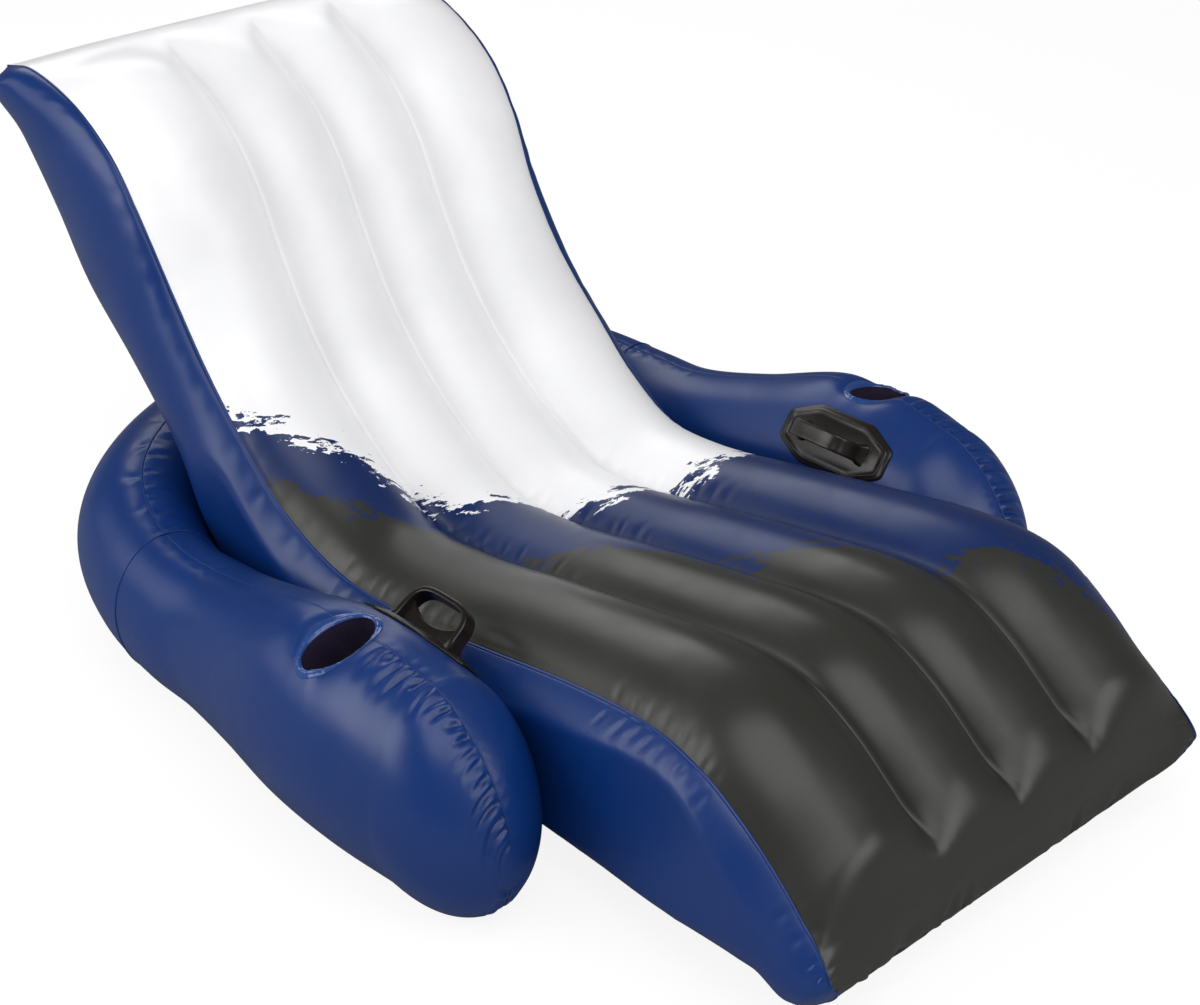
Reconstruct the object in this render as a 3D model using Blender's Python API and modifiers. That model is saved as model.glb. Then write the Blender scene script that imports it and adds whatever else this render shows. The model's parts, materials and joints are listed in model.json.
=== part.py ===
"""Inflatable pool chair: a channelled lounge welded into a horseshoe of armrests.

Metres, +Z up. The sitter faces -Y, the chair is centred on x = 0 and it stands on z = 0.
Every inflated body is a set of thin vinyl panels, which meet edge to edge along their welds.
"""
import math

import bmesh
import bpy
from mathutils import Matrix, Vector

# Vinyl sheet
GAUGE = 0.00045
CLEARANCE = 0.0003
OVERRUN = 0.03
MERGE_DISTANCE = CLEARANCE / 10
WELD_STEP = 2 * GAUGE + CLEARANCE

# Lounge
LOUNGE_LENGTH = 1.72
LOUNGE_HEIGHT = 0.80
LOUNGE_WIDTH = 0.72
CHANNEL_WIDTH = 0.1525
CHANNEL_CROWN = 0.034
OUTER_CROWN = 0.047
FOOT_CROWN = 0.026
BASE_CROWN = 0.022
FLOOR_CUT = 0.0005
GUSSET_BULGE = 0.075
GUSSET_REACH = 0.020
KNEE_REACH = 0.034

# Weld patch between each armrest and the lounge
PATCH_LENGTH = 0.36
PATCH_HEIGHT = 0.050
PATCH_SETBACK = 0.50
PATCH_THICKNESS = 2 * GAUGE

# Horseshoe of armrests
RING_SETBACK = 0.386
BACK_TUBE_WIDTH = 0.252
BACK_TUBE_HEIGHT = 0.28
WAIST_WIDTH = 0.178
WAIST_HEIGHT = 0.233
ARM_WIDTH = 0.238
ARM_HEIGHT = 0.328
ARM_SQUASH = 0.012
NOSE_LENGTH = 0.150
NOSE_DROOP = 0.046
SEAT_MARGIN = 0.006
SEAT_TOLERANCE = SEAT_MARGIN / 10
SECTION_REACH_SHARE = 0.08

# Cup holders
CUP_MOUTH_ACROSS = 0.114
CUP_MOUTH_ALONG = 0.060
CUP_FLOOR_ACROSS = 0.088
CUP_FLOOR_ALONG = 0.070
CUP_DEPTH = 0.105
CUP_THROAT = 0.034
CUP_WALL = 2 * GAUGE
CUP_RIM_WIDTH = 0.0065
CUP_RIM_HEIGHT = 0.0025
CUP_TILT = math.radians(13)
CUP_LEAN = math.radians(12.4)
CUP_SETBACK = 0.327

# Handles
HANDLE_LENGTH = 0.205
HANDLE_WIDTH = 0.105
HANDLE_PLATE = 0.004
GRIP_LENGTH = 0.120
GRIP_HEIGHT = 0.060
GRIP_BAND = 0.011
GRIP_WIDTH = 0.026
HANDLE_CHAMFER_SHARE = 0.62
GRIP_CORNER_SHARE = 0.5
HANDLE_ANGLE = math.radians(40)
HANDLE_SETBACK = 0.31

# Air valves
VALVE_FLANGE_RADIUS = 0.0185
VALVE_FLANGE_HEIGHT = 0.0016
VALVE_SLEEVE_WALL = 0.0012
VALVE_SLEEVE_LENGTH = 0.008
VALVE_STEM_RADIUS = 0.0105
VALVE_STEM_LENGTH = 0.023
VALVE_STEM_PROUD = 0.012
VALVE_BORE_RADIUS = 0.0065
VALVE_LIP_RADIUS = 0.0135
VALVE_LIP_HEIGHT = 0.0022
VALVE_LUG_LENGTH = 0.004
VALVE_LUG_WIDTH = 0.007
VALVE_LUG_LAP = 0.002
VALVE_PLUG_LENGTH = 0.006
VALVE_PLUG_TAPER = 0.0014
VALVE_CAP_RADIUS = 0.0120
VALVE_CAP_HEIGHT = 0.0025
VALVE_FLAP_THICKNESS = 0.0010
VALVE_FLAP_LAP = 0.0015

# Lines of the lounge from the foot to the head. Each row holds the places, as shares of its length
# and height, of the channel welds on top, of the side weld and of the underside, and then the
# widths between the side welds on top and below, as shares of the lounge's width.
LOUNGE_ROW_SHARES = (
    (-0.498, 0.040, -0.524, 0.116, -0.498, 0.040, 1.000, 1.000),
    (-0.509, 0.133, -0.524, 0.134, -0.499, 0.028, 1.016, 0.860),
    (-0.499, 0.211, -0.507, 0.178, -0.470, 0.010, 1.007, 0.845),
    (-0.463, 0.280, -0.472, 0.239, -0.433, 0.000, 0.987, 0.870),
    (-0.423, 0.343, -0.431, 0.308, -0.390, 0.000, 0.988, 0.905),
    (-0.378, 0.386, -0.388, 0.358, -0.344, 0.000, 0.990, 0.920),
    (-0.324, 0.387, -0.330, 0.367, -0.292, 0.000, 0.961, 0.915),
    (-0.245, 0.359, -0.246, 0.343, -0.227, 0.000, 0.936, 0.905),
    (-0.152, 0.323, -0.143, 0.303, -0.139, 0.000, 0.929, 0.885),
    (-0.054, 0.282, -0.041, 0.269, -0.044, 0.000, 0.926, 0.865),
    (0.029, 0.275, 0.038, 0.274, 0.053, 0.000, 0.930, 0.850),
    (0.097, 0.341, 0.099, 0.334, 0.150, 0.030, 0.949, 0.847),
    (0.157, 0.437, 0.147, 0.421, 0.214, 0.137, 0.958, 0.847),
    (0.205, 0.550, 0.201, 0.539, 0.266, 0.293, 0.952, 0.855),
    (0.241, 0.676, 0.242, 0.665, 0.324, 0.429, 0.957, 0.875),
    (0.270, 0.796, 0.274, 0.794, 0.396, 0.555, 0.980, 0.889),
    (0.307, 0.893, 0.310, 0.894, 0.440, 0.689, 0.983, 0.889),
    (0.357, 0.961, 0.363, 0.963, 0.484, 0.825, 0.978, 0.889),
    (0.421, 0.996, 0.427, 0.996, 0.502, 0.915, 0.978, 0.910),
    (0.476, 0.985, 0.470, 0.983, 0.474, 0.985, 0.978, 0.978),
)
WELD_START_SHARE = 0.09
WELD_END_SHARE = 0.94
WELD_FADE_SHARE = 0.05
LIP_SHARE = 0.08
BULGE_LIMIT_SHARE = 0.30
KNEE_SHARE = 0.20
KNEE_FADE_SHARE = 0.11
GUSSET_TIP_SHARE = 0.12
WEB_SHARE = 0.5

# Centre line of half the ring, from the back to the cap of the nose. Each row holds the place
# along the ring's depth, how far the line stands out between the middle and the armrest, and how
# much of the waist's and of the armrest's section the back tube's section takes on.
RING_ROW_SHARES = (
    (1.000, 0.00, 0.00, 0.00),
    (0.984, 0.30, 0.00, 0.00),
    (0.933, 0.58, 0.10, 0.00),
    (0.864, 0.80, 0.40, 0.00),
    (0.775, 0.94, 0.80, 0.00),
    (0.680, 1.00, 1.00, 0.00),
    (0.590, 1.00, 0.95, 0.05),
    (0.475, 1.00, 0.60, 0.40),
    (0.350, 1.00, 0.10, 0.90),
    (0.245, 1.00, 0.00, 1.00),
    (0.150, 1.00, 0.18, 0.80),
)
MITRE_ROW = 4.6
ROW_STEP = 0.01
SQUASH_ROWS = 1.0
CAP_SHARES = (0.38, 0.66, 0.86, 0.97, 1.0)

# Facets
STATIONS = 28
TOP_FACETS = 5
BASE_FACETS = 3
BASE_FLAT_SHARE = 1 / BASE_FACETS
GUSSET_FACETS = 4
TUBE_FACETS = 8
BACK_SECTIONS = 13
ARM_SECTIONS = 12
ROUND_FACETS = 24
SEAT_STEPS = 8
SEAT_SECTIONS = 48
SEAT_ROUNDS = 30
HALVINGS = 40
GRIP_FACETS = 10
CUP_FACETS = 28
CUP_STEPS = 4
VALVE_STATIONS_DOWN = 6
VALVE_FACET = 6


def clear_scene():
    for old in list(bpy.data.objects):
        bpy.data.objects.remove(old, do_unlink=True)


def make_collection(name):
    collection = bpy.data.collections.new(name)
    bpy.context.scene.collection.children.link(collection)
    return collection


def make_material(name, colour, roughness, metallic=0.0):
    material = bpy.data.materials.new(name)
    material.use_nodes = True
    shader = material.node_tree.nodes["Principled BSDF"]
    shader.inputs["Base Color"].default_value = (*colour, 1.0)
    shader.inputs["Roughness"].default_value = roughness
    shader.inputs["Metallic"].default_value = metallic
    return material


def smooth_step(value):
    value = min(max(value, 0.0), 1.0)
    return value * value * (3.0 - 2.0 * value)


def mix(low, high, share):
    return low + (high - low) * share


def row_at(rows, place):
    """The values at a place along a Catmull-Rom curve through rows of numbers."""
    last = len(rows) - 1
    index = min(max(int(place), 0), last - 1)
    step = place - index
    here, there = rows[index], rows[index + 1]
    before = rows[index - 1] if index > 0 else [2 * a - b for a, b in zip(here, there)]
    after = rows[index + 2] if index + 2 <= last else [2 * b - a for a, b in zip(here, there)]
    values = []
    for p0, p1, p2, p3 in zip(before, here, there, after):
        bend = (2 * p0 - 5 * p1 + 4 * p2 - p3) * step + (3 * p1 - p0 - 3 * p2 + p3) * step * step
        values.append(0.5 * (2 * p1 + (p2 - p0 + bend) * step))
    return values


def left_normals(points):
    """Unit normals, to the left of the way of travel, of a line of (y, z) points."""
    normals = []
    for index in range(len(points)):
        back = points[max(index - 1, 0)]
        ahead = points[min(index + 1, len(points) - 1)]
        run, rise = ahead[0] - back[0], ahead[1] - back[1]
        size = math.hypot(run, rise)
        normals.append((-rise / size, run / size))
    return normals


class Lounge:
    """The lounge as stations from the foot to the head, with its weld lines and normals."""

    def __init__(self):
        sizes = (LOUNGE_LENGTH, LOUNGE_HEIGHT) * 3 + (LOUNGE_WIDTH / 2,) * 2
        self.top, self.side, self.under = [], [], []
        self.half_width, self.half_base = [], []
        for index in range(STATIONS):
            row = row_at(LOUNGE_ROW_SHARES, self.share(index) * (len(LOUNGE_ROW_SHARES) - 1))
            row = [value * size for value, size in zip(row, sizes)]
            self.top.append((row[0], row[1]))
            self.side.append((row[2], row[3]))
            self.under.append((row[4], max(row[5], 0.0)))
            self.half_width.append(row[6])
            self.half_base.append(row[7])
        self.top_normal = left_normals(self.top)
        self.under_normal = [(-y, -z) for y, z in left_normals(self.under)]
        front, back = self.reach()
        for line in (self.top, self.side, self.under):
            line[:] = [(y - (front + back) / 2, z) for y, z in line]
        self.front = (front - back) / 2

    def reach(self):
        """The y of the foot's and of the head's tip."""
        places = [index / TOP_FACETS - 2.0 for index in range(4 * TOP_FACETS + 1)]
        tops = [self.top_point(index, place).y for index in range(STATIONS) for place in places]
        lows = [self.under_point(index, place).y for index in range(STATIONS) for place in places]
        return min(tops + lows), max(tops + lows)

    def share(self, index):
        return index / (STATIONS - 1)

    def open_share(self, index):
        """How open the lounge is at a station: 0 at the foot and head welds, 1 between them."""
        share = self.share(index)
        return smooth_step(share / LIP_SHARE) * smooth_step((1.0 - share) / LIP_SHARE)

    def welded_share(self, index):
        """How far the channel welds hold the sheet down at a station."""
        share = self.share(index)
        start = smooth_step((share - WELD_START_SHARE) / WELD_FADE_SHARE)
        return start * smooth_step((WELD_END_SHARE - share) / WELD_FADE_SHARE)

    def weld_line(self, index, outer):
        """The line of the top sheet's welds; outer is 0 on a channel weld and 1 on the side weld."""
        top, side = self.top[index], self.side[index]
        return [mix(low, high, outer ** 2) for low, high in zip(top, side)]

    def top_point(self, index, across):
        """A point of the top sheet; across runs from -2 to 2, a whole number on each weld."""
        inner = min(abs(across), 1.0)
        outer = max(abs(across) - 1.0, 0.0)
        x = inner * CHANNEL_WIDTH + outer * (self.half_width[index] - CHANNEL_WIDTH)
        y, z = self.weld_line(index, outer)
        along = abs(across) % 1.0
        crown = OUTER_CROWN if outer > 0.0 else CHANNEL_CROWN
        held = self.welded_share(index)
        rise = held * crown * 4 * along * (1 - along)
        rise += (1 - held) * FOOT_CROWN * (1 - (abs(across) / 2) ** 4)
        rise *= self.open_share(index)
        run, lift = self.top_normal[index]
        return Vector((math.copysign(x, across), y + run * rise, z + lift * rise))

    def under_point(self, index, across):
        """A point of the underside; across runs from -2 to 2, a whole number on each weld."""
        inner = min(abs(across), 1.0)
        outer = max(abs(across) - 1.0, 0.0)
        x = inner * CHANNEL_WIDTH + outer * (self.half_base[index] - CHANNEL_WIDTH)
        along = abs(across) % 1.0
        level = along * (1 - along) / (BASE_FLAT_SHARE * (1 - BASE_FLAT_SHARE))
        sunk = BASE_CROWN * (1.0 - min(level, 1.0)) * self.welded_share(index)
        rise = (FLOOR_CUT - sunk) * self.open_share(index)
        run, lift = self.under_normal[index]
        end = 0 if self.share(index) < 0.5 else STATIONS - 1
        closed = 1.0 - self.open_share(index)
        y, z = self.under[index]
        y += (self.weld_line(end, outer)[0] - self.under[end][0]) * closed
        z += (self.weld_line(end, outer)[1] - self.under[end][1] - WELD_STEP) * closed + lift * rise
        return Vector((math.copysign(x, across), y + run * rise, max(z, 0.0)))

    def gusset_line(self, index, side):
        """A line down a side gusset, from its top weld to its bottom weld."""
        high = self.top_point(index, 2.0)
        low = self.under_point(index, 2.0)
        if index in (0, STATIONS - 1):
            beside = 1 if index == 0 else STATIONS - 2
            high = high.lerp(self.top_point(beside, 2.0), GUSSET_TIP_SHARE)
            low = low.lerp(self.under_point(beside, 2.0), GUSSET_TIP_SHARE)
        drop = low - high
        inset = WELD_STEP / drop.length
        bulge = min(GUSSET_BULGE, drop.length * BULGE_LIMIT_SHARE)
        beside_arm = smooth_step((self.share(index) - KNEE_SHARE) / KNEE_FADE_SHARE)
        reach = LOUNGE_WIDTH / 2 + mix(KNEE_REACH, GUSSET_REACH, beside_arm)
        line = []
        for step in range(GUSSET_FACETS + 1):
            down = mix(inset, 1.0 - inset, step / GUSSET_FACETS)
            point = high + drop * down
            point.x = side * min(point.x + bulge * 4 * down * (1 - down), reach)
            line.append(point)
        return line


class Ring:
    """The horseshoe tube, as sections along half its centre line on the side x < 0."""

    def __init__(self, lounge):
        self.inner_x = LOUNGE_WIDTH / 2 + GUSSET_REACH + PATCH_THICKNESS + 2 * CLEARANCE
        self.last = len(RING_ROW_SHARES) - 1
        self.front = lounge.front + RING_SETBACK
        self.back_y = 0.0
        self.back_y = self.seat_back_tube(lounge)

    def seat_back_tube(self, lounge):
        """Where the back tube's centre lies when the tube just clears the lounge in front of it."""
        near = []
        for index in range(STATIONS):
            line = [lounge.under_point(index, step / SEAT_STEPS) for step in range(2 * SEAT_STEPS + 1)]
            line += lounge.gusset_line(index, 1)
            near += [point for point in line if point.z < BACK_TUBE_HEIGHT and point.y > self.back_y]
        self.back_y = max(point.y for point in near)
        for _ in range(SEAT_ROUNDS):
            tube = self.tube_sections(0.0, MITRE_ROW)
            overlap = max(self.depth(tube, point) for point in near) + SEAT_MARGIN
            if overlap < SEAT_TOLERANCE:
                break
            self.back_y += overlap
        return self.back_y

    def tube_sections(self, first, last):
        rows = [mix(first, last, step / SEAT_SECTIONS) for step in range(SEAT_SECTIONS + 1)]
        return [(*self.section(row), self.outward(row)) for row in rows]

    def depth(self, tube, point):
        """How deep a point lies in the tube, below zero outside it."""
        deepest = -self.inner_x
        for centre, width, height, out in tube:
            gap = Vector((-abs(point.x), point.y, point.z)) - centre
            if abs(gap.x * out.y - gap.y * out.x) < SECTION_REACH_SHARE * width:
                reach = math.hypot(gap.dot(out) / width, gap.z / height)
                deepest = max(deepest, (0.5 - reach) * min(width, height))
        return deepest

    def section(self, row):
        """The centre, width and height of the tube at a row of the centre line."""
        depth, out, waist, arm = row_at(RING_ROW_SHARES, row)
        width = BACK_TUBE_WIDTH + waist * (WAIST_WIDTH - BACK_TUBE_WIDTH)
        width += arm * (ARM_WIDTH - BACK_TUBE_WIDTH)
        height = BACK_TUBE_HEIGHT + waist * (WAIST_HEIGHT - BACK_TUBE_HEIGHT)
        height += arm * (ARM_HEIGHT - BACK_TUBE_HEIGHT)
        x = -out * (self.inner_x + width / 2)
        y = mix(self.front, self.back_y, depth)
        return Vector((x, y, (height - FLOOR_CUT) / 2)), width, height + FLOOR_CUT

    def outward(self, row):
        """The level direction out of the horseshoe at a row."""
        if row <= 0.0:
            return Vector((0.0, 1.0, 0.0))
        ahead, _, _ = self.section(min(row + ROW_STEP, self.last))
        back, _, _ = self.section(row - ROW_STEP)
        travel = (ahead - back).normalized()
        return Vector((travel.y, -travel.x, 0.0)).normalized()

    def point(self, row, angle, offset=0.0, side=-1):
        """A point of the tube at a row, turned from 0 below over the outer side to a half turn on
        top. Rows past the last one are shares of the nose's cap."""
        cap = max(row - self.last, 0.0)
        centre, width, height = self.section(min(row, self.last))
        out = self.outward(min(row, self.last))
        shrink = math.sqrt(max(1.0 - cap * cap, 0.0))
        centre.y -= (NOSE_LENGTH + offset) * cap
        centre.z -= NOSE_DROOP * cap
        reach = math.sin(angle)
        squash = ARM_SQUASH * smooth_step((row - MITRE_ROW) / SQUASH_ROWS) if reach < 0.0 else 0.0
        point = centre + out * (reach * ((width / 2 + squash) * shrink + offset))
        point.z -= math.cos(angle) * (height / 2 * shrink + offset)
        point.z = max(point.z, -offset)
        if row >= MITRE_ROW:
            point.x = min(point.x, offset - self.inner_x)
        point.x *= -side
        return point

    def row_at_y(self, y):
        """The row of the armrest whose centre lies at y."""
        low, high = MITRE_ROW, float(self.last)
        for _ in range(HALVINGS):
            middle = (low + high) / 2
            if self.section(middle)[0].y > y:
                low = middle
            else:
                high = middle
        return (low + high) / 2


def half_turn_angles(height):
    """Angles from the floor over one side to the top, with one facet flat on the floor."""
    flat = math.acos(1.0 - 2.0 * FLOOR_CUT / height)
    steps = [math.pi * index / TUBE_FACETS for index in range(1, TUBE_FACETS + 1)]
    return [0.0, flat] + steps


class Workshop:
    """Makes the objects and keeps the parts and the cutters in their collections."""

    def __init__(self):
        self.parts = make_collection("inflatable_pool_chair")
        self.cutters = make_collection("cutters")

    def add(self, name, mesh, material=None):
        piece = bpy.data.objects.new(name, mesh)
        if material is None:
            self.cutters.objects.link(piece)
            piece.hide_render = True
            piece.display_type = "WIRE"
        else:
            self.parts.objects.link(piece)
            mesh.materials.clear()
            mesh.materials.append(material)
        return piece

    def boolean(self, piece, cutter, operation="DIFFERENCE"):
        modifier = piece.modifiers.new(operation.lower(), "BOOLEAN")
        modifier.operation = operation
        modifier.object = cutter
        modifier.solver = "EXACT"


def grid_mesh(name, rows, closed=False, capped=False):
    """A mesh of quads through rows of points, closed round each row and capped if asked."""
    mesh_data = bmesh.new()
    lines = [[mesh_data.verts.new(point) for point in row] for row in rows]
    for first, second in zip(lines, lines[1:]):
        count = len(first)
        for index in range(count if closed else count - 1):
            after = (index + 1) % count
            mesh_data.faces.new((first[index], first[after], second[after], second[index]))
    if capped:
        mesh_data.faces.new(lines[0][::-1])
        mesh_data.faces.new(lines[-1])
    bmesh.ops.remove_doubles(mesh_data, verts=mesh_data.verts, dist=MERGE_DISTANCE)
    if closed:
        bmesh.ops.recalc_face_normals(mesh_data, faces=mesh_data.faces)
    mesh = bpy.data.meshes.new(name)
    mesh_data.to_mesh(mesh)
    mesh_data.free()
    return mesh


def make_sheet(shop, name, rows, inside, material):
    """A thin vinyl panel: an open surface through rows of points, thickened towards the air."""
    mesh = grid_mesh(name, rows)
    middle = min(mesh.polygons, key=lambda face: (face.center - inside).length)
    if middle.normal.dot(middle.center - inside) < 0.0:
        mesh.flip_normals()
    mesh.shade_smooth()
    piece = shop.add(name, mesh, material)
    skin = piece.modifiers.new("gauge", "SOLIDIFY")
    skin.thickness = GAUGE
    skin.offset = -1.0
    return piece


def make_prism(name, outline, low, high):
    """A mesh of a flat (x, y) outline raised from low to high."""
    mesh_data = bmesh.new()
    face = mesh_data.faces.new([mesh_data.verts.new((x, y, low)) for x, y in outline])
    raised = bmesh.ops.extrude_face_region(mesh_data, geom=[face])["geom"]
    tops = [item for item in raised if isinstance(item, bmesh.types.BMVert)]
    bmesh.ops.translate(mesh_data, verts=tops, vec=(0.0, 0.0, high - low))
    bmesh.ops.recalc_face_normals(mesh_data, faces=mesh_data.faces)
    mesh = bpy.data.meshes.new(name)
    mesh_data.to_mesh(mesh)
    mesh_data.free()
    return mesh


def make_disc(name, radius, low, high, tip_radius=None):
    """A mesh of a cylinder or cone along Z, its tip at low."""
    mesh_data = bmesh.new()
    tip = radius if tip_radius is None else tip_radius
    bmesh.ops.create_cone(mesh_data, cap_ends=True, segments=ROUND_FACETS, radius1=tip,
                          radius2=radius, depth=high - low)
    bmesh.ops.translate(mesh_data, verts=mesh_data.verts, vec=(0.0, 0.0, (low + high) / 2))
    mesh = bpy.data.meshes.new(name)
    mesh_data.to_mesh(mesh)
    mesh_data.free()
    return mesh


def make_box(name, size, centre):
    mesh_data = bmesh.new()
    bmesh.ops.create_cube(mesh_data, size=1.0)
    bmesh.ops.scale(mesh_data, verts=mesh_data.verts, vec=size)
    bmesh.ops.translate(mesh_data, verts=mesh_data.verts, vec=centre)
    mesh = bpy.data.meshes.new(name)
    mesh_data.to_mesh(mesh)
    mesh_data.free()
    return mesh


def turn(piece, closed):
    """Turns a piece's profile of edges once round its Z axis."""
    screw = piece.modifiers.new("turn", "SCREW")
    screw.steps = ROUND_FACETS
    screw.render_steps = ROUND_FACETS
    screw.use_merge_vertices = not closed
    screw.merge_threshold = MERGE_DISTANCE
    screw.use_smooth_shade = False
    if closed:
        weld = piece.modifiers.new("weld", "WELD")
        weld.merge_threshold = MERGE_DISTANCE


def profile_mesh(name, points, closed):
    """A mesh of edges through (radius, height) points, its outer side running downwards."""
    verts = [(radius, 0.0, height) for radius, height in points]
    edges = [(index, index + 1) for index in range(len(points) - 1)]
    if closed:
        edges.append((len(points) - 1, 0))
    mesh = bpy.data.meshes.new(name)
    mesh.from_pydata(verts, edges, [])
    return mesh


def frame_matrix(origin, along, normal):
    """A matrix with X along the piece and Z out of the surface that it sits on."""
    across = normal.cross(along).normalized()
    along = across.cross(normal).normalized()
    matrix = Matrix((along, across, normal.normalized())).transposed().to_4x4()
    matrix.translation = origin
    return matrix


def make_lounge(shop, lounge, finish):
    """The printed top sheet, the underside, the side gussets and the webs between channels."""
    middle = STATIONS // 2
    inside = (lounge.top_point(middle, 0.5) + lounge.under_point(middle, 0.5)) / 2
    across = [index / TOP_FACETS - 2.0 for index in range(4 * TOP_FACETS + 1)]
    rows = [[lounge.top_point(index, place) for place in across] for index in range(STATIONS)]
    make_sheet(shop, "lounge_top_sheet", rows, inside, finish["print"])
    across = [index / BASE_FACETS - 2.0 for index in range(4 * BASE_FACETS + 1)]
    rows = [[lounge.under_point(index, place) for place in across] for index in range(STATIONS)]
    bottom = make_sheet(shop, "lounge_bottom_sheet", rows, inside, finish["navy"])
    for name, side in (("right", -1), ("left", 1)):
        rows = [lounge.gusset_line(index, side) for index in range(STATIONS)]
        make_sheet(shop, f"lounge_{name}_gusset", rows, inside, finish["navy"])
    for name, weld in (("right", -1), ("centre", 0), ("left", 1)):
        make_web(shop, lounge, f"lounge_{name}_web", weld, finish["navy"])
    return bottom


def make_web(shop, lounge, name, weld, material):
    """An inner strip that ties a channel weld of the top sheet to the underside."""
    rows = []
    for index in range(STATIONS):
        if lounge.welded_share(index) < WEB_SHARE:
            continue
        run, lift = lounge.top_normal[index]
        high = lounge.top_point(index, weld) - Vector((0.0, run, lift)) * (GAUGE + CLEARANCE)
        run, lift = lounge.under_normal[index]
        low = lounge.under_point(index, weld) - Vector((0.0, run, lift)) * (GAUGE + CLEARANCE)
        rows.append([high, low])
    mesh = grid_mesh(name, rows)
    piece = shop.add(name, mesh, material)
    skin = piece.modifiers.new("gauge", "SOLIDIFY")
    skin.thickness = GAUGE
    skin.offset = 0.0


def tube_row(ring, row, angles, side, offset=0.0, outward=0.0, onward=0.0):
    """A row of points round the tube, moved outward and onward along the centre line."""
    out = ring.outward(min(row, ring.last))
    shift = out * outward + Vector((-out.y, out.x, 0.0)) * onward
    shift.x *= -side
    return [ring.point(row, angle, offset, side) + shift for angle in angles]


def arm_rows():
    steps = [index / ARM_SECTIONS for index in range(ARM_SECTIONS + 1)]
    last = len(RING_ROW_SHARES) - 1
    return [mix(MITRE_ROW, last, step) for step in steps] + [last + cap for cap in CAP_SHARES]


def make_arm(shop, ring, name, side, material):
    """The inner and outer panels of an armrest, welded together over its top and underneath."""
    outer_angles = half_turn_angles(ARM_HEIGHT)
    inner_angles = [2 * math.pi - angle for angle in outer_angles]
    centre, _, _ = ring.section(ring.row_at_y(ring.front + CUP_SETBACK))
    centre.x *= -side
    panels = []
    for part, angles, seam in (("outer", outer_angles, 1), ("inner", inner_angles, -1)):
        rows = []
        for index, row in enumerate(arm_rows()):
            onward = CLEARANCE / 2 if index == 0 else 0.0
            rows.append(tube_row(ring, row, angles, side, 0.0, seam * CLEARANCE / 2, onward))
        panels.append(make_sheet(shop, f"{name}_arm_{part}_panel", rows, centre, material))
    return panels


def make_back_tube(shop, ring, material):
    """The inner and outer panels of the tube round the back."""
    outer_angles = half_turn_angles(BACK_TUBE_HEIGHT)
    inner_angles = [2 * math.pi - angle for angle in outer_angles]
    centre, _, _ = ring.section(0.0)
    panels = []
    for part, angles, seam in (("outer", outer_angles, 1), ("inner", inner_angles, -1)):
        rows = []
        for index in range(BACK_SECTIONS + 1):
            turned = 2 * index / BACK_SECTIONS - 1.0
            side = -1 if turned < 0.0 else 1
            onward = -CLEARANCE / 2 if index in (0, BACK_SECTIONS) else 0.0
            row = MITRE_ROW * abs(turned)
            rows.append(tube_row(ring, row, angles, side, 0.0, seam * CLEARANCE / 2, onward))
        panels.append(make_sheet(shop, f"back_tube_{part}_panel", rows, centre, material))
    return panels


def make_envelope(shop, ring, name, side, offset):
    """A cutter in the shape of an armrest, offset from its skin."""
    outer_angles = half_turn_angles(ARM_HEIGHT)
    inner_angles = [2 * math.pi - angle for angle in outer_angles[::-1]]
    angles = outer_angles[:-1] + inner_angles[:-1]
    rows = [tube_row(ring, row, angles, side, offset) for row in arm_rows()]
    return shop.add(name, grid_mesh(name, rows, closed=True, capped=True))


def cup_ring(height, offset):
    """A row of points round the cup well at a height from its mouth, offset outwards."""
    sunk = smooth_step((-height - CUP_THROAT) / (CUP_DEPTH - CUP_THROAT))
    along = mix(CUP_MOUTH_ALONG, CUP_FLOOR_ALONG, sunk) / 2 + offset
    across = mix(CUP_MOUTH_ACROSS, CUP_FLOOR_ACROSS, sunk) / 2 + offset
    angles = [2 * math.pi * index / CUP_FACETS for index in range(CUP_FACETS)]
    return [(along * math.cos(angle), across * math.sin(angle), height) for angle in angles]


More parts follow.
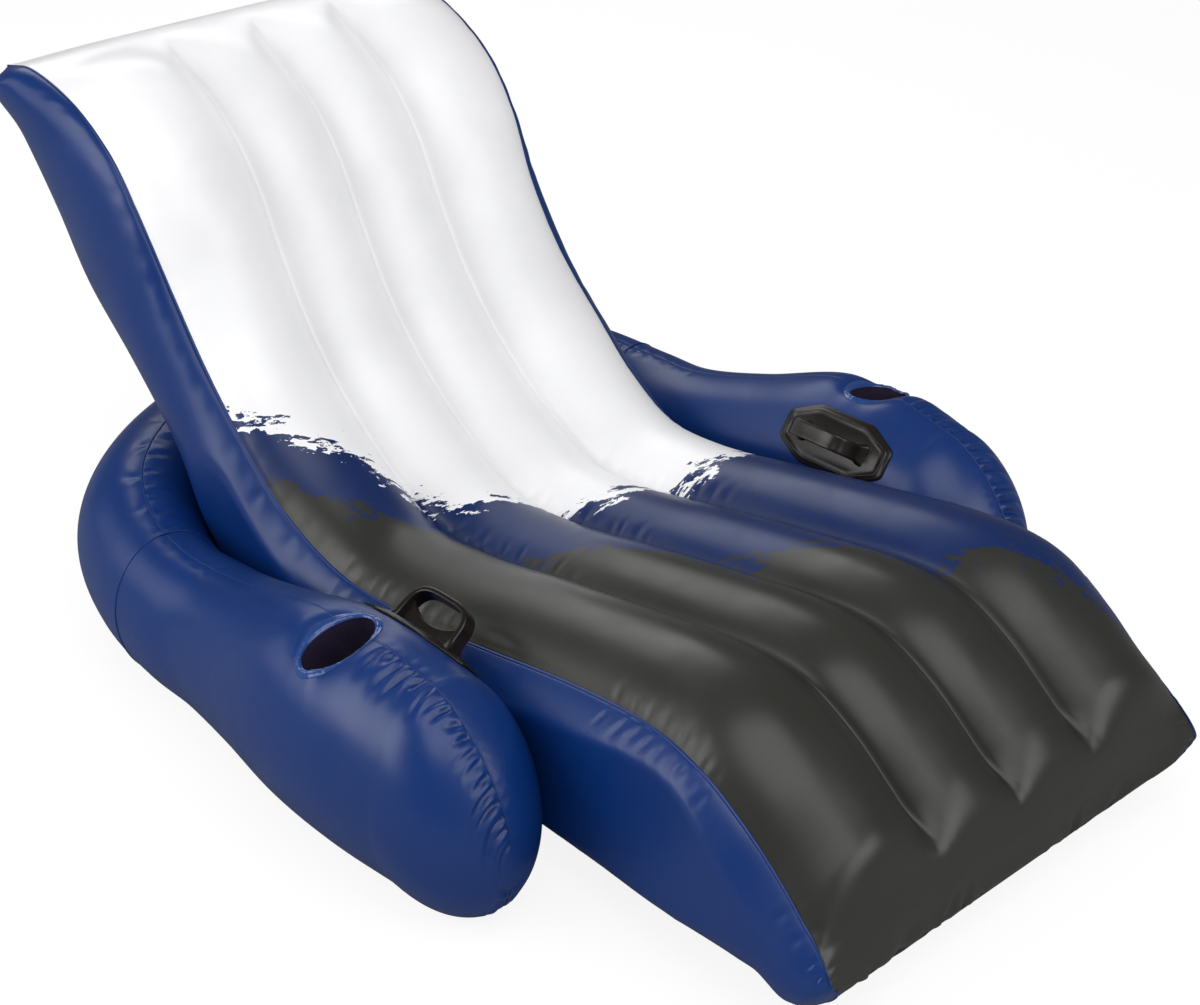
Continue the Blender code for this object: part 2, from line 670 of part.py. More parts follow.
def make_cup_holder(shop, ring, name, side, panels, finish):
    """A cup well let into the top of an armrest, with the welded rim round its mouth."""
    row = ring.row_at_y(ring.front + CUP_SETBACK)
    axis = Vector((side * math.sin(CUP_TILT), 0.0, math.cos(CUP_TILT)))
    mouth_centre = ring.point(row, math.pi - CUP_LEAN, 0.0, side)
    matrix = frame_matrix(mouth_centre, Vector((0.0, -1.0, 0.0)), axis)
    steps = [index / CUP_STEPS for index in range(CUP_STEPS + 1)]
    depths = [-OVERRUN] + [mix(CUP_THROAT, CUP_DEPTH, step) for step in steps]
    rows = [cup_ring(-depth, CUP_WALL) for depth in depths]
    rows.append(cup_ring(-CUP_DEPTH - CUP_WALL, 0.0))
    rows = rows[::-1] + [cup_ring(-depth, 0.0) for depth in depths]
    well = shop.add(f"{name}_cup_well", grid_mesh("cup_well", rows, True, True), finish["black"])
    well.matrix_world = matrix
    skin_top = make_envelope(shop, ring, f"{name}_rim_top", side, CLEARANCE + CUP_RIM_HEIGHT)
    skin_seat = make_envelope(shop, ring, f"{name}_rim_seat", side, CLEARANCE)
    shop.boolean(well, skin_top, "INTERSECT")

    inner = CUP_WALL + CLEARANCE
    brim = inner + CUP_RIM_WIDTH
    bounds = ((-OVERRUN, inner), (OVERRUN, inner), (OVERRUN, brim), (-OVERRUN, brim))
    rows = [cup_ring(height, offset) for height, offset in bounds]
    rim_mesh = grid_mesh("cup_rim", rows + rows[:1], closed=True)
    rim = shop.add(f"{name}_cup_rim", rim_mesh, finish["navy"])
    rim.matrix_world = matrix
    shop.boolean(rim, skin_top, "INTERSECT")
    shop.boolean(rim, skin_seat)

    rows = [cup_ring(-OVERRUN, inner), cup_ring(OVERRUN, inner)]
    hole = shop.add(f"{name}_cup_hole", grid_mesh("cup_hole", rows, True, True))
    hole.matrix_world = matrix
    for panel in panels:
        shop.boolean(panel, hole)


def make_handle(shop, ring, name, side, finish):
    """A moulded handle welded on the inner slope of an armrest: a base plate and a grip."""
    row = ring.row_at_y(ring.front + HANDLE_SETBACK)
    angle = 1.5 * math.pi - HANDLE_ANGLE
    origin = ring.point(row, angle, 0.0, side)
    along = ring.point(row + ROW_STEP, angle, 0.0, side) - origin
    round_tube = ring.point(row, angle - ROW_STEP, 0.0, side) - origin
    normal = along.cross(round_tube).normalized() * side
    centre, _, _ = ring.section(row)
    centre.x *= -side
    if normal.dot(origin - centre) < 0.0:
        normal = -normal
    matrix = frame_matrix(origin, along, normal)
    long, wide = HANDLE_LENGTH / 2, HANDLE_WIDTH / 2
    chamfer = wide * HANDLE_CHAMFER_SHARE
    corners = [(long, wide - chamfer), (long - chamfer, wide)]
    outline = corners + [(-x, y) for x, y in corners[::-1]]
    outline += [(-x, -y) for x, y in corners] + [(x, -y) for x, y in corners[::-1]]
    skin_top = make_envelope(shop, ring, f"{name}_plate_top", side, CLEARANCE + HANDLE_PLATE)
    skin_seat = make_envelope(shop, ring, f"{name}_plate_seat", side, CLEARANCE)
    base = shop.add(f"{name}_handle_base", make_prism("handle_base", outline, -wide, wide),
                    finish["brown"])
    base.matrix_world = matrix
    shop.boolean(base, skin_top, "INTERSECT")
    shop.boolean(base, skin_seat)

    rise = HANDLE_PLATE + GRIP_HEIGHT
    arch = []
    for inset, order in ((0.0, 1), (GRIP_BAND, -1)):
        line = []
        for index in range(GRIP_FACETS + 1):
            turned = math.pi * index / GRIP_FACETS
            x = math.copysign(abs(math.cos(turned)) ** GRIP_CORNER_SHARE, math.cos(turned))
            y = math.sin(turned) ** GRIP_CORNER_SHARE
            line.append((x * (GRIP_LENGTH / 2 - inset), y * (rise - inset)))
        line = [(line[0][0], -GRIP_BAND)] + line + [(line[-1][0], -GRIP_BAND)]
        arch += line[::order]
    grip_mesh = make_prism("handle_grip", arch, -GRIP_WIDTH / 2, GRIP_WIDTH / 2)
    grip = shop.add(f"{name}_handle_grip", grip_mesh, finish["brown"])
    grip.matrix_world = matrix @ Matrix.Rotation(math.pi / 2, 4, "X")
    grip_seat = make_envelope(shop, ring, f"{name}_grip_seat", side, 2 * CLEARANCE + HANDLE_PLATE)
    shop.boolean(grip, grip_seat)


def make_patch(shop, ring, name, side, material):
    """The welded strip that joins an armrest to the side of the lounge."""
    y = ring.front + PATCH_SETBACK
    centre, _, _ = ring.section(ring.row_at_y(y))
    x = LOUNGE_WIDTH / 2 + GUSSET_REACH + CLEARANCE + PATCH_THICKNESS / 2
    size = (PATCH_THICKNESS, PATCH_LENGTH, PATCH_HEIGHT)
    mesh = make_box(f"{name}_weld_patch", size, (side * x, y, centre.z))
    shop.add(f"{name}_weld_patch", mesh, material)


def make_valve(shop, name, corners, inside, panel, finish):
    """An air valve on one facet of a panel: flange, stem, flap and plug cap."""
    origin = sum(corners, Vector()) / len(corners)
    normal = (corners[2] - corners[0]).cross(corners[3] - corners[1]).normalized()
    if normal.dot(origin - inside) < 0.0:
        normal = -normal
    along = corners[1] - corners[0]
    matrix = frame_matrix(origin, along, normal)
    twist = max(abs(normal.dot(corner - origin)) for corner in corners)
    seat = twist + CLEARANCE

    sleeve = VALVE_STEM_RADIUS + CLEARANCE
    sleeve_outer = sleeve + VALVE_SLEEVE_WALL
    brim = seat + VALVE_FLANGE_HEIGHT
    profile = [(sleeve, -VALVE_SLEEVE_LENGTH), (sleeve, brim), (VALVE_FLANGE_RADIUS, brim),
               (VALVE_FLANGE_RADIUS, seat), (sleeve_outer, seat),
               (sleeve_outer, -VALVE_SLEEVE_LENGTH)]
    flange = shop.add(f"{name}_valve_flange", profile_mesh("flange", profile, True), finish["navy"])
    flange.matrix_world = matrix
    turn(flange, closed=True)
    hole_mesh = make_disc("valve_hole", sleeve_outer + CLEARANCE, -sleeve_outer, sleeve_outer)
    hole = shop.add(f"{name}_valve_hole", hole_mesh)
    hole.matrix_world = matrix
    shop.boolean(panel, hole)

    top = brim + VALVE_STEM_PROUD
    low = top - VALVE_STEM_LENGTH
    under_lip = top - VALVE_LIP_HEIGHT
    profile = [(VALVE_BORE_RADIUS, low), (VALVE_BORE_RADIUS, top), (VALVE_LIP_RADIUS, top),
               (VALVE_LIP_RADIUS, under_lip), (VALVE_STEM_RADIUS, under_lip),
               (VALVE_STEM_RADIUS, low)]
    stem = shop.add(f"{name}_valve_stem", profile_mesh("stem", profile, True), finish["clear"])
    stem.matrix_world = matrix
    turn(stem, closed=True)
    hinge_x = VALVE_LIP_RADIUS + VALVE_LUG_LENGTH
    lug_length = VALVE_LUG_LENGTH + VALVE_LUG_LAP
    lug_size = (lug_length, VALVE_LUG_WIDTH, VALVE_LIP_HEIGHT)
    lug_centre = (hinge_x - lug_length / 2, 0.0, top - VALVE_LIP_HEIGHT / 2)
    lug = shop.add(f"{name}_valve_lug", make_box("valve_lug", lug_size, lug_centre))
    lug.matrix_world = matrix
    shop.boolean(stem, lug, "UNION")

    flap_radius = VALVE_BORE_RADIUS + VALVE_FLAP_LAP
    flap_top = low - CLEARANCE
    flap_mesh = make_disc("valve_flap", flap_radius, flap_top - VALVE_FLAP_THICKNESS, flap_top)
    flap = shop.add(f"{name}_valve_flap", flap_mesh, finish["clear"])
    hang_on_hinge(shop, flap, matrix, Vector((flap_radius, 0.0, flap_top)))

    head = top + CLEARANCE
    cap_top = head + VALVE_CAP_HEIGHT
    plug = VALVE_BORE_RADIUS - CLEARANCE
    tip = plug - VALVE_PLUG_TAPER
    profile = [(0.0, cap_top), (VALVE_CAP_RADIUS, cap_top), (VALVE_CAP_RADIUS, head), (plug, head),
               (tip, head - VALVE_PLUG_LENGTH), (0.0, head - VALVE_PLUG_LENGTH)]
    cap = shop.add(f"{name}_valve_cap", profile_mesh("valve_cap", profile, False), finish["clear"])
    turn(cap, closed=False)
    tab_reach = hinge_x - VALVE_BORE_RADIUS
    tab_size = (tab_reach, VALVE_LUG_WIDTH, VALVE_CAP_HEIGHT / 2)
    tab_centre = (hinge_x - tab_reach / 2, 0.0, head + VALVE_CAP_HEIGHT / 4)
    tab = shop.add(f"{name}_valve_tab", make_box("valve_tab", tab_size, tab_centre))
    tab.matrix_world = matrix
    shop.boolean(cap, tab, "UNION")
    hang_on_hinge(shop, cap, matrix, Vector((hinge_x, 0.0, top + CLEARANCE / 2)))


def hang_on_hinge(shop, piece, matrix, pivot):
    """Places a piece and parents it to an empty on its hinge line, whose Y axis is the hinge."""
    hinge = bpy.data.objects.new(f"{piece.name}_hinge", None)
    hinge.matrix_world = matrix @ Matrix.Translation(pivot)
    hinge.empty_display_size = VALVE_LIP_RADIUS
    shop.parts.objects.link(hinge)
    piece.parent = hinge
    piece.matrix_local = Matrix.Translation(-pivot)


def main():
    clear_scene()
    shop = Workshop()
    finish = {
        "print": make_material("printed_vinyl", (0.80, 0.81, 0.82), 0.38),
        "navy": make_material("navy_vinyl", (0.012, 0.028, 0.19), 0.32),
        "black": make_material("black_vinyl", (0.010, 0.010, 0.014), 0.40),
        "brown": make_material("moulded_vinyl", (0.020, 0.016, 0.014), 0.42),
        "clear": make_material("valve_vinyl", (0.55, 0.57, 0.60), 0.30),
    }
    lounge = Lounge()
    ring = Ring(lounge)
    underside = make_lounge(shop, lounge, finish)
    back_panels = make_back_tube(shop, ring, finish["navy"])
    for name, side in (("right", -1), ("left", 1)):
        panels = make_arm(shop, ring, name, side, finish["navy"])
        make_cup_holder(shop, ring, name, side, panels, finish)
        make_handle(shop, ring, name, side, finish)
        make_patch(shop, ring, name, side, finish["navy"])

    station = STATIONS - VALVE_STATIONS_DOWN
    places = [(station, 1 / BASE_FACETS), (station, 2 / BASE_FACETS),
              (station + 1, 2 / BASE_FACETS), (station + 1, 1 / BASE_FACETS)]
    corners = [lounge.under_point(*place) for place in places]
    inside = (lounge.top_point(station, 0.5) + lounge.under_point(station, 0.5)) / 2
    make_valve(shop, "lounge", corners, inside, underside, finish)

    row = MITRE_ROW / BACK_SECTIONS
    angles = half_turn_angles(BACK_TUBE_HEIGHT)
    high, low = angles[VALVE_FACET + 1], angles[VALVE_FACET]
    corners = [ring.point(row, low, 0.0, -1), ring.point(row, low, 0.0, 1),
               ring.point(row, high, 0.0, 1), ring.point(row, high, 0.0, -1)]
    centre, _, _ = ring.section(0.0)
    make_valve(shop, "ring", corners, centre, back_panels[0], finish)


main()
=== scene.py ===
"""Looks of the inflatable pool chair: inflated film panels, weld seams, puckers and mouldings.

Metres, +Z up, the sitter faces -Y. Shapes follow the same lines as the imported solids.
"""
import json
import math

import bmesh
import bpy
import numpy as np
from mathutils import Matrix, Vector

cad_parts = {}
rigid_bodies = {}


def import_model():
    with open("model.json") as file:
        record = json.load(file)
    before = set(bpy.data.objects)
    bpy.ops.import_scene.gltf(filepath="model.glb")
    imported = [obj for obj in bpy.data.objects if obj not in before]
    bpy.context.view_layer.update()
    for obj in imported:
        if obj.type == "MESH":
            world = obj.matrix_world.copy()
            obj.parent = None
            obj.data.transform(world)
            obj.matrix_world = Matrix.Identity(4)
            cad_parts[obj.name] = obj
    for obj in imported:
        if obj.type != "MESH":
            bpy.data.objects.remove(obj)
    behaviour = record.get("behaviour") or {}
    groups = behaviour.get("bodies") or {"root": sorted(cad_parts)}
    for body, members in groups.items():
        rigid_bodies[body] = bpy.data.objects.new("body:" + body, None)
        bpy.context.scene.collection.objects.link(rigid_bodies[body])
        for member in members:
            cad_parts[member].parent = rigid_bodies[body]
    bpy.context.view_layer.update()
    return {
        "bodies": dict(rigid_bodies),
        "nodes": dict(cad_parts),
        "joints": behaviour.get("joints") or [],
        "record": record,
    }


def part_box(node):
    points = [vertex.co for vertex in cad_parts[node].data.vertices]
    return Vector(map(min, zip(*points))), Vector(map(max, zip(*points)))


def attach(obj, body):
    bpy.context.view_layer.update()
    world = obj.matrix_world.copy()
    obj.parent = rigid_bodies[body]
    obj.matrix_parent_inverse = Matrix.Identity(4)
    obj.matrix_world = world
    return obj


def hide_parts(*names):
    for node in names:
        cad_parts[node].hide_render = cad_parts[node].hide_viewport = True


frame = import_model()

GAUGE = 0.00045
CLEARANCE = 0.0003
TINY = 1e-12


def linear(red, green, blue):
    """A linear colour from sRGB values of 0 to 255."""
    def channel(value):
        return value / 12.92 if value <= 0.04045 else ((value + 0.055) / 1.055) ** 2.4
    return tuple(channel(value / 255.0) for value in (red, green, blue)) + (1.0,)


# Lounge, as in the solids but for the low half widths of rows 2 to 4, which follow the photo
LOUNGE_LENGTH = 1.72
LOUNGE_HEIGHT = 0.80
LOUNGE_WIDTH = 0.72
CHANNEL_WIDTH = 0.1525
CHANNEL_CROWN = 0.034
OUTER_CROWN = 0.047
FOOT_CROWN = 0.026
BASE_CROWN = 0.022
BASE_FLATNESS = 4.5
FLOOR_CUT = 0.0005
GUSSET_BULGE = 0.075
GUSSET_REACH = 0.020
KNEE_REACH = 0.034
WELD_STEP = 2 * GAUGE + CLEARANCE
LOUNGE_ROW_SHARES = np.array((
    (-0.498, 0.040, -0.524, 0.116, -0.498, 0.040, 1.000, 1.000),
    (-0.509, 0.133, -0.524, 0.134, -0.499, 0.028, 1.016, 0.912),
    (-0.499, 0.211, -0.507, 0.178, -0.470, 0.010, 1.007, 0.905),
    (-0.463, 0.280, -0.472, 0.239, -0.433, 0.000, 0.987, 0.900),
    (-0.423, 0.343, -0.431, 0.308, -0.390, 0.000, 0.988, 0.905),
    (-0.378, 0.386, -0.388, 0.358, -0.344, 0.000, 0.990, 0.920),
    (-0.324, 0.387, -0.330, 0.367, -0.292, 0.000, 0.961, 0.915),
    (-0.245, 0.359, -0.246, 0.343, -0.227, 0.000, 0.936, 0.905),
    (-0.152, 0.323, -0.143, 0.303, -0.139, 0.000, 0.929, 0.885),
    (-0.054, 0.282, -0.041, 0.269, -0.044, 0.000, 0.926, 0.865),
    (0.029, 0.275, 0.038, 0.274, 0.053, 0.000, 0.930, 0.850),
    (0.097, 0.341, 0.099, 0.334, 0.150, 0.030, 0.949, 0.847),
    (0.157, 0.437, 0.147, 0.421, 0.214, 0.137, 0.958, 0.847),
    (0.205, 0.550, 0.201, 0.539, 0.266, 0.293, 0.952, 0.855),
    (0.241, 0.676, 0.242, 0.665, 0.324, 0.429, 0.957, 0.875),
    (0.270, 0.796, 0.274, 0.794, 0.396, 0.555, 0.980, 0.889),
    (0.307, 0.893, 0.310, 0.894, 0.440, 0.689, 0.983, 0.889),
    (0.357, 0.961, 0.363, 0.963, 0.484, 0.825, 0.978, 0.889),
    (0.421, 0.996, 0.427, 0.996, 0.502, 0.915, 0.978, 0.910),
    (0.476, 0.985, 0.470, 0.983, 0.474, 0.985, 0.978, 0.978),
))
WELD_START_SHARE = 0.09
WELD_END_SHARE = 0.94
WELD_FADE_SHARE = 0.05
LIP_SHARE = 0.08
BULGE_LIMIT_SHARE = 0.30
HEEL_BULGE_SHARE = 0.18
HEEL_SHARE = 0.07
KNEE_SHARE = 0.20
KNEE_FADE_SHARE = 0.11
LOUNGE_SHIFT = 0.022106

# Ring of armrests, as in the solids
BACK_TUBE_WIDTH = 0.252
BACK_TUBE_HEIGHT = 0.28
WAIST_WIDTH = 0.178
WAIST_HEIGHT = 0.233
ARM_WIDTH = 0.238
ARM_HEIGHT = 0.328
ARM_SQUASH = 0.012
TUBE_WIDTHS = (BACK_TUBE_WIDTH, WAIST_WIDTH, ARM_WIDTH)
TUBE_HEIGHTS = (BACK_TUBE_HEIGHT, WAIST_HEIGHT, ARM_HEIGHT)
NOSE_LENGTH = 0.150
NOSE_DROOP = 0.046
DROOP_START = 0.15
RING_SETBACK = 0.386
PATCH_THICKNESS = 2 * GAUGE
RING_ROW_SHARES = np.array((
    (1.000, 0.00, 0.00, 0.00),
    (0.984, 0.30, 0.00, 0.00),
    (0.933, 0.58, 0.10, 0.00),
    (0.864, 0.80, 0.40, 0.00),
    (0.775, 0.94, 0.80, 0.00),
    (0.680, 1.00, 1.00, 0.00),
    (0.590, 1.00, 0.95, 0.05),
    (0.475, 1.00, 0.60, 0.40),
    (0.350, 1.00, 0.10, 0.90),
    (0.245, 1.00, 0.00, 1.00),
    (0.150, 1.00, 0.18, 0.80),
))
MITRE_ROW = 4.6
SQUASH_ROWS = 1.0
LAST_ROW = len(RING_ROW_SHARES) - 1.0

# Cup holders and handles, as in the solids but for the mouth's size along and the plate's width
CUP_MOUTH_ACROSS = 0.114
CUP_MOUTH_ALONG = 0.070
CUP_FLOOR_ACROSS = 0.088
CUP_FLOOR_ALONG = 0.070
CUP_DEPTH = 0.105
CUP_THROAT = 0.034
CUP_TILT = math.radians(13)
CUP_LEAN = math.radians(12.4)
CUP_SETBACK = 0.327
HANDLE_LENGTH = 0.205
HANDLE_WIDTH = 0.097
HANDLE_PLATE = 0.004
GRIP_LENGTH = 0.120
GRIP_HEIGHT = 0.060
GRIP_BAND = 0.011
GRIP_WIDTH = 0.026
HANDLE_ANGLE = math.radians(40)
HANDLE_SETBACK = 0.31

# Grids of the film panels: rows along each, and columns across it or across each channel
TOP_ROWS, TOP_COLUMNS = 430, 28
UNDER_ROWS, UNDER_COLUMNS = 340, 20
GUSSET_COLUMNS = 57
WELD_ROWS = 420
ARM_ROWS, NOSE_ROWS, ARM_COLUMNS = 250, 100, 92
BACK_ROWS = 320
BACK_PANELS = (("outer", 1, 130), ("inner", -1, 60))
BESIDE = ((-1, 0), (1, 0), (0, -1), (0, 1))
AROUND = BESIDE + ((-1, -1), (-1, 1), (1, -1), (1, 1))

# Looks
CHANNEL_ROUNDNESS = 0.80
GUSSET_ROUNDNESS = 0.85
BACKREST_ROUNDNESS = 0.62
BACKREST_SWELL = 0.017
BACKREST_SHARE = 0.63
BACKREST_FADE_SHARE = 0.08
GROOVE_SHARE = 0.012
FOOT_WRAP_SHARE = 0.05
HEAD_WRAP_SHARE = 0.012
FOOT_ROUNDING = 0.022
HEAD_ROUNDING = 0.009
FOOT_ROLL = (0.0145, 0.036, 0.024)
FOOT_VALLEY = (-0.0050, 0.098, 0.034)
SIDE_FADE = 0.22
WEB_START_SHARE = 0.13
WEB_END_SHARE = 0.95
WEB_DROP = 0.006
SEAM_PINCH = 0.0014
SEAM_PINCH_WIDTH = 0.016
LIP_WIDTH = 0.0022
LIP_THICKNESS = 0.0009
BEAD_SIZE = 0.0011
BEAD_SINK = -0.0003
MERGE_DISTANCE = 1e-6
VALVE_MARGIN = 0.006
VALVE_FADE = 0.035
VALVE_HOLE_RADIUS = 0.0150
RIM_BAND = 0.98
PROBE = 0.01
ROW_LENGTH = 0.14
PUCKER_START = 0.012
PUCKER_ROOT = 0.15
PUCKER_SWELL = 0.34
PUCKER_HOLD = 0.25
KNEE_PUCKERS = np.array((0.365, 0.385, 0.402, 0.424, 0.440, 0.462, 0.488, 0.512, 0.545))
FOOT_PUCKERS = np.array((0.030, 0.050, 0.066, 0.084, 0.104, 0.130, 0.160, 0.198))
SEAT_PUCKERS = np.array((0.84, 0.87, 0.90, 0.925, 0.95, 0.98, 1.005, 1.035, 1.065, 1.10))
BACK_PUCKERS = np.arange(1.16, 2.05, 0.047)
LOW_PUCKERS = np.arange(0.26, 1.10, 0.042)
FOOT_FOLDS = np.array((-0.272, -0.236, -0.205, -0.148, -0.088, -0.052,
                       0.036, 0.082, 0.130, 0.182, 0.232, 0.276))
FOOT_FOLD = np.array((0.0105, 0.0068, 0.080))
WELD_FOOT_LENGTH = 0.165
WELD_END_PUCKERS = np.array((-0.016, -0.004, 0.009, 0.020))
WELD_END_DIP = 0.0012
NOSE_PUCKERS = np.arange(0.018, 0.368, 0.0185)

# Puckers: their places along a weld, seed, depth, width, length and lean
TOP_PUCKERS = ((KNEE_PUCKERS, 31, 0.0017, 0.0042, 0.026), (FOOT_PUCKERS, 41, 0.0018, 0.0045, 0.026),
               (SEAT_PUCKERS, 51, 0.0013, 0.0060, 0.034), (BACK_PUCKERS, 91, 0.0009, 0.0065, 0.024))
CHANNEL_PUCKERS = ((SEAT_PUCKERS, 60, 0.0018, 0.0055, 0.036),)
WELD_END_FOLD = (66, 0.0009, 0.0045, 0.050, 0.35)
GUSSET_PUCKERS = (
    (KNEE_PUCKERS, 0, 0.0022, 0.0045, 0.030), (SEAT_PUCKERS, 1, 0.0018, 0.0065, 0.036),
    (FOOT_PUCKERS, 2, 0.0026, 0.0048, 0.032), (BACK_PUCKERS, 4, 0.0011, 0.0070, 0.028))
GUSSET_LOW_PUCKERS = ((LOW_PUCKERS, 3, 0.0024, 0.0065, 0.034),)
NOSE_FOLD = (0.0062, 0.0042, 0.078, 0.16)
NOSE_INNER_FOLD = (0.0007, 0.0042, 0.022, 0.16)
REAR_PUCKERS = ((0.02, 0.045, 0.075, 0.105, 0.14), 5, 0.0012, 0.0060, 0.035)
DENSE_PLACES = ((0.06, 0.10), (0.45, 0.14), (0.97, 0.17))
CUP_SAG = 0.0012
CUP_LEVEL_SHARE = 0.15
CUP_SAG_WIDTH = 0.017
CUP_CALM = 0.022
CUP_COLLAR = 0.0006
CUP_FLOOR_DROP = 0.004
CUP_CLEAR_SHARE = 1.26

# Profiles: the place outwards or inwards, and the rise
RIM_PROFILE = ((-0.0010, -0.0014), (-0.0009, 0.0008), (0.0004, 0.0026), (0.0022, 0.0030),
               (0.0038, 0.0020), (0.0050, 0.0012), (0.0082, 0.0011), (0.0090, 0.0004),
               (0.0090, -0.0004))
PLATE_PROFILE = ((0.0012, 0.0), (0.0, 0.0), (0.0, 0.0022), (0.0006, 0.0034), (0.0020, 0.0040),
                 (0.0060, 0.0040), (0.0072, 0.0044), (0.0084, 0.0052), (0.0098, 0.0052),
                 (0.0110, 0.0044), (0.0122, 0.0036), (0.0180, 0.0034), (0.0260, 0.0036),
                 (0.0400, 0.0038), (0.0525, 0.0038), (0.1025, 0.0038))
CORNER_ROUNDING = 0.007
HANDLE_CHAMFER = (0.050, 0.026)
GRIP_CORNER_SHARE = 0.5
WEB_LOW = 0.020
WEB_HIGH = 0.046
WEB_THICKNESS = 0.007
COAT_ROUGHNESS = 0.16
BUMP_DISTANCE = 0.0006
WHITE = linear(238, 238, 240)
NAVY_PRINT = linear(8, 36, 88)
CHARCOAL = linear(44, 44, 41)
PRINT_BLUE_BORDER = (1.02, -0.72, 1.10, 3.7, 0.085)
PRINT_GREY_BORDER = (0.70, -1.55, 0.63, 8.3, 0.10)
PRINT_LAYERS = (((5.0, 3.0, 1.0), 2.0, 0.5, 0.0, 1.7), ((14.0, 60.0, 1.0), 5.0, 0.62, 0.3, 2.6),
                ((55.0, 110.0, 1.0), 3.0, 0.6, 0.8, 1.4))
PRINT_EDGE = 0.0008
SIDES = (("right", -1), ("left", 1))
LOOKS = {}

# Films: the material's name, then its colour, gloss, creases, specular and coat
FILMS = {"navy": ("navy_vinyl_look", linear(4, 45, 107), 0.34, 0.25, 0.5),
         # rim: a blue lighter than the navy, a painted highlight for the pale line along each cup's
         # rim; its lower gloss and its coat are real
         "rim": ("rim_vinyl_painted_highlight_look", linear(26, 62, 126), 0.24, 0.1, 0.6, 0.4),
         "black": ("black_vinyl_look", linear(46, 38, 58), 0.24, 0.9, 0.6),
         "brown": ("moulded_vinyl_look", linear(25, 20, 17), 0.27, 0.15, 0.5),
         "clear": ("valve_vinyl_look", linear(214, 218, 224), 0.28, 0.1)}
NODE_LOOKS = (("_weld_patch", "navy"), ("_valve_flange", "navy"), ("_valve_stem", "clear"),
              ("_valve_cap", "clear"), ("_valve_flap", "clear"))
WORLD_LIGHT = 0.52
WORLD_GLOSS = 0.10
FLOOR_GLOW = 1.07
FLOOR_GLOW_SHARE = 0.82
FLOOR_GLOSS_SHADE = 0.70
FLOOR_SIZE = 24.0
FLOOR_TONE = (0.80, 0.80, 0.81, 1.0)
CAMERA_PLACE = (-1.8795, -2.1426 + LOUNGE_SHIFT, 1.83)
CAMERA_TURN = (math.radians(60.7205), 0.0, math.radians(-42.8635))
CAMERA_LENS = 66.095
CAMERA_SENSOR = 36.0
LAMP_AIM = (0.0, 0.0, 0.3)

# Lamps: name, place, size and power
LAMPS = (
    ("top", (-0.7, -1.6, 2.9), (2.6, 2.2), 36.0),
    ("front", (0.7, -3.5, 1.8), (2.6, 1.6), 34.0),
    ("side", (-3.0, 1.0, 1.8), (2.2, 2.2), 46.0),
    ("rear", (-2.7, 3.3, 1.5), (2.4, 1.8), 12.0),
    ("back", (1.2, 2.8, 2.6), (2.6, 1.6), 28.0),
)


def smooth_step(value):
    value = np.clip(value, 0.0, 1.0)
    return value * value * (3.0 - 2.0 * value)


def mix(low, high, share):
    return low + (high - low) * share


def bell(value, width):
    return np.exp(-(value / width) ** 2)


def eased(count, amount):
    """Places from 0 to 1 that draw together at both ends."""
    step = np.linspace(0.0, 1.0, count)
    return mix(step, 0.5 - 0.5 * np.cos(np.pi * step), amount)


def unit(vectors):
    return vectors / np.linalg.norm(vectors, axis=-1, keepdims=True)


def soft_limit(value, limit, blend=0.006):
    """The value held under a limit, rounded where it meets it."""
    share = np.clip(0.5 + 0.5 * (limit - value) / blend, 0.0, 1.0)
    return mix(limit, value, share) - blend * share * (1.0 - share)


def curve_through(rows, place):
    """Values at places along a Catmull-Rom curve through rows of numbers."""
    last = len(rows) - 1
    place = np.asarray(place, float)
    index = np.clip(place.astype(int), 0, last - 1)
    step = (place - index)[..., None]
    here, there = rows[index], rows[index + 1]
    before = np.where((index > 0)[..., None], rows[np.maximum(index - 1, 0)], 2 * here - there)
    after = np.where((index + 2 <= last)[..., None], rows[np.minimum(index + 2, last)],
                     2 * there - here)
    bend = (2 * before - 5 * here + 4 * there - after) * step
    bend += (3 * here - before - 3 * there + after) * step * step
    return 0.5 * (2 * here + (there - before + bend) * step)


def line_normals(line):
    """Unit normals, to the left of the way of travel, of lines of (y, z) points."""
    travel = unit(np.gradient(line, axis=0))
    return np.stack([-travel[..., 1], travel[..., 0]], -1)


def facing(normals, towards):
    """Normals turned so that they mostly agree with a direction."""
    return -normals if np.sum(normals * towards) < 0.0 else normals


def grid_normals(points, towards):
    """Unit normals of a grid of points, turned to a direction."""
    normals = np.cross(np.gradient(points, axis=0), np.gradient(points, axis=1))
    normals /= np.maximum(np.linalg.norm(normals, axis=-1, keepdims=True), TINY)
    return facing(normals, towards)


def sheet_x(across, half):
    """Distances from the middle plane of places across a sheet with a half width."""
    inner, outer = np.minimum(np.abs(across), 1.0), np.maximum(np.abs(across) - 1.0, 0.0)
    return np.sign(across) * (inner * CHANNEL_WIDTH + outer * (half - CHANNEL_WIDTH))


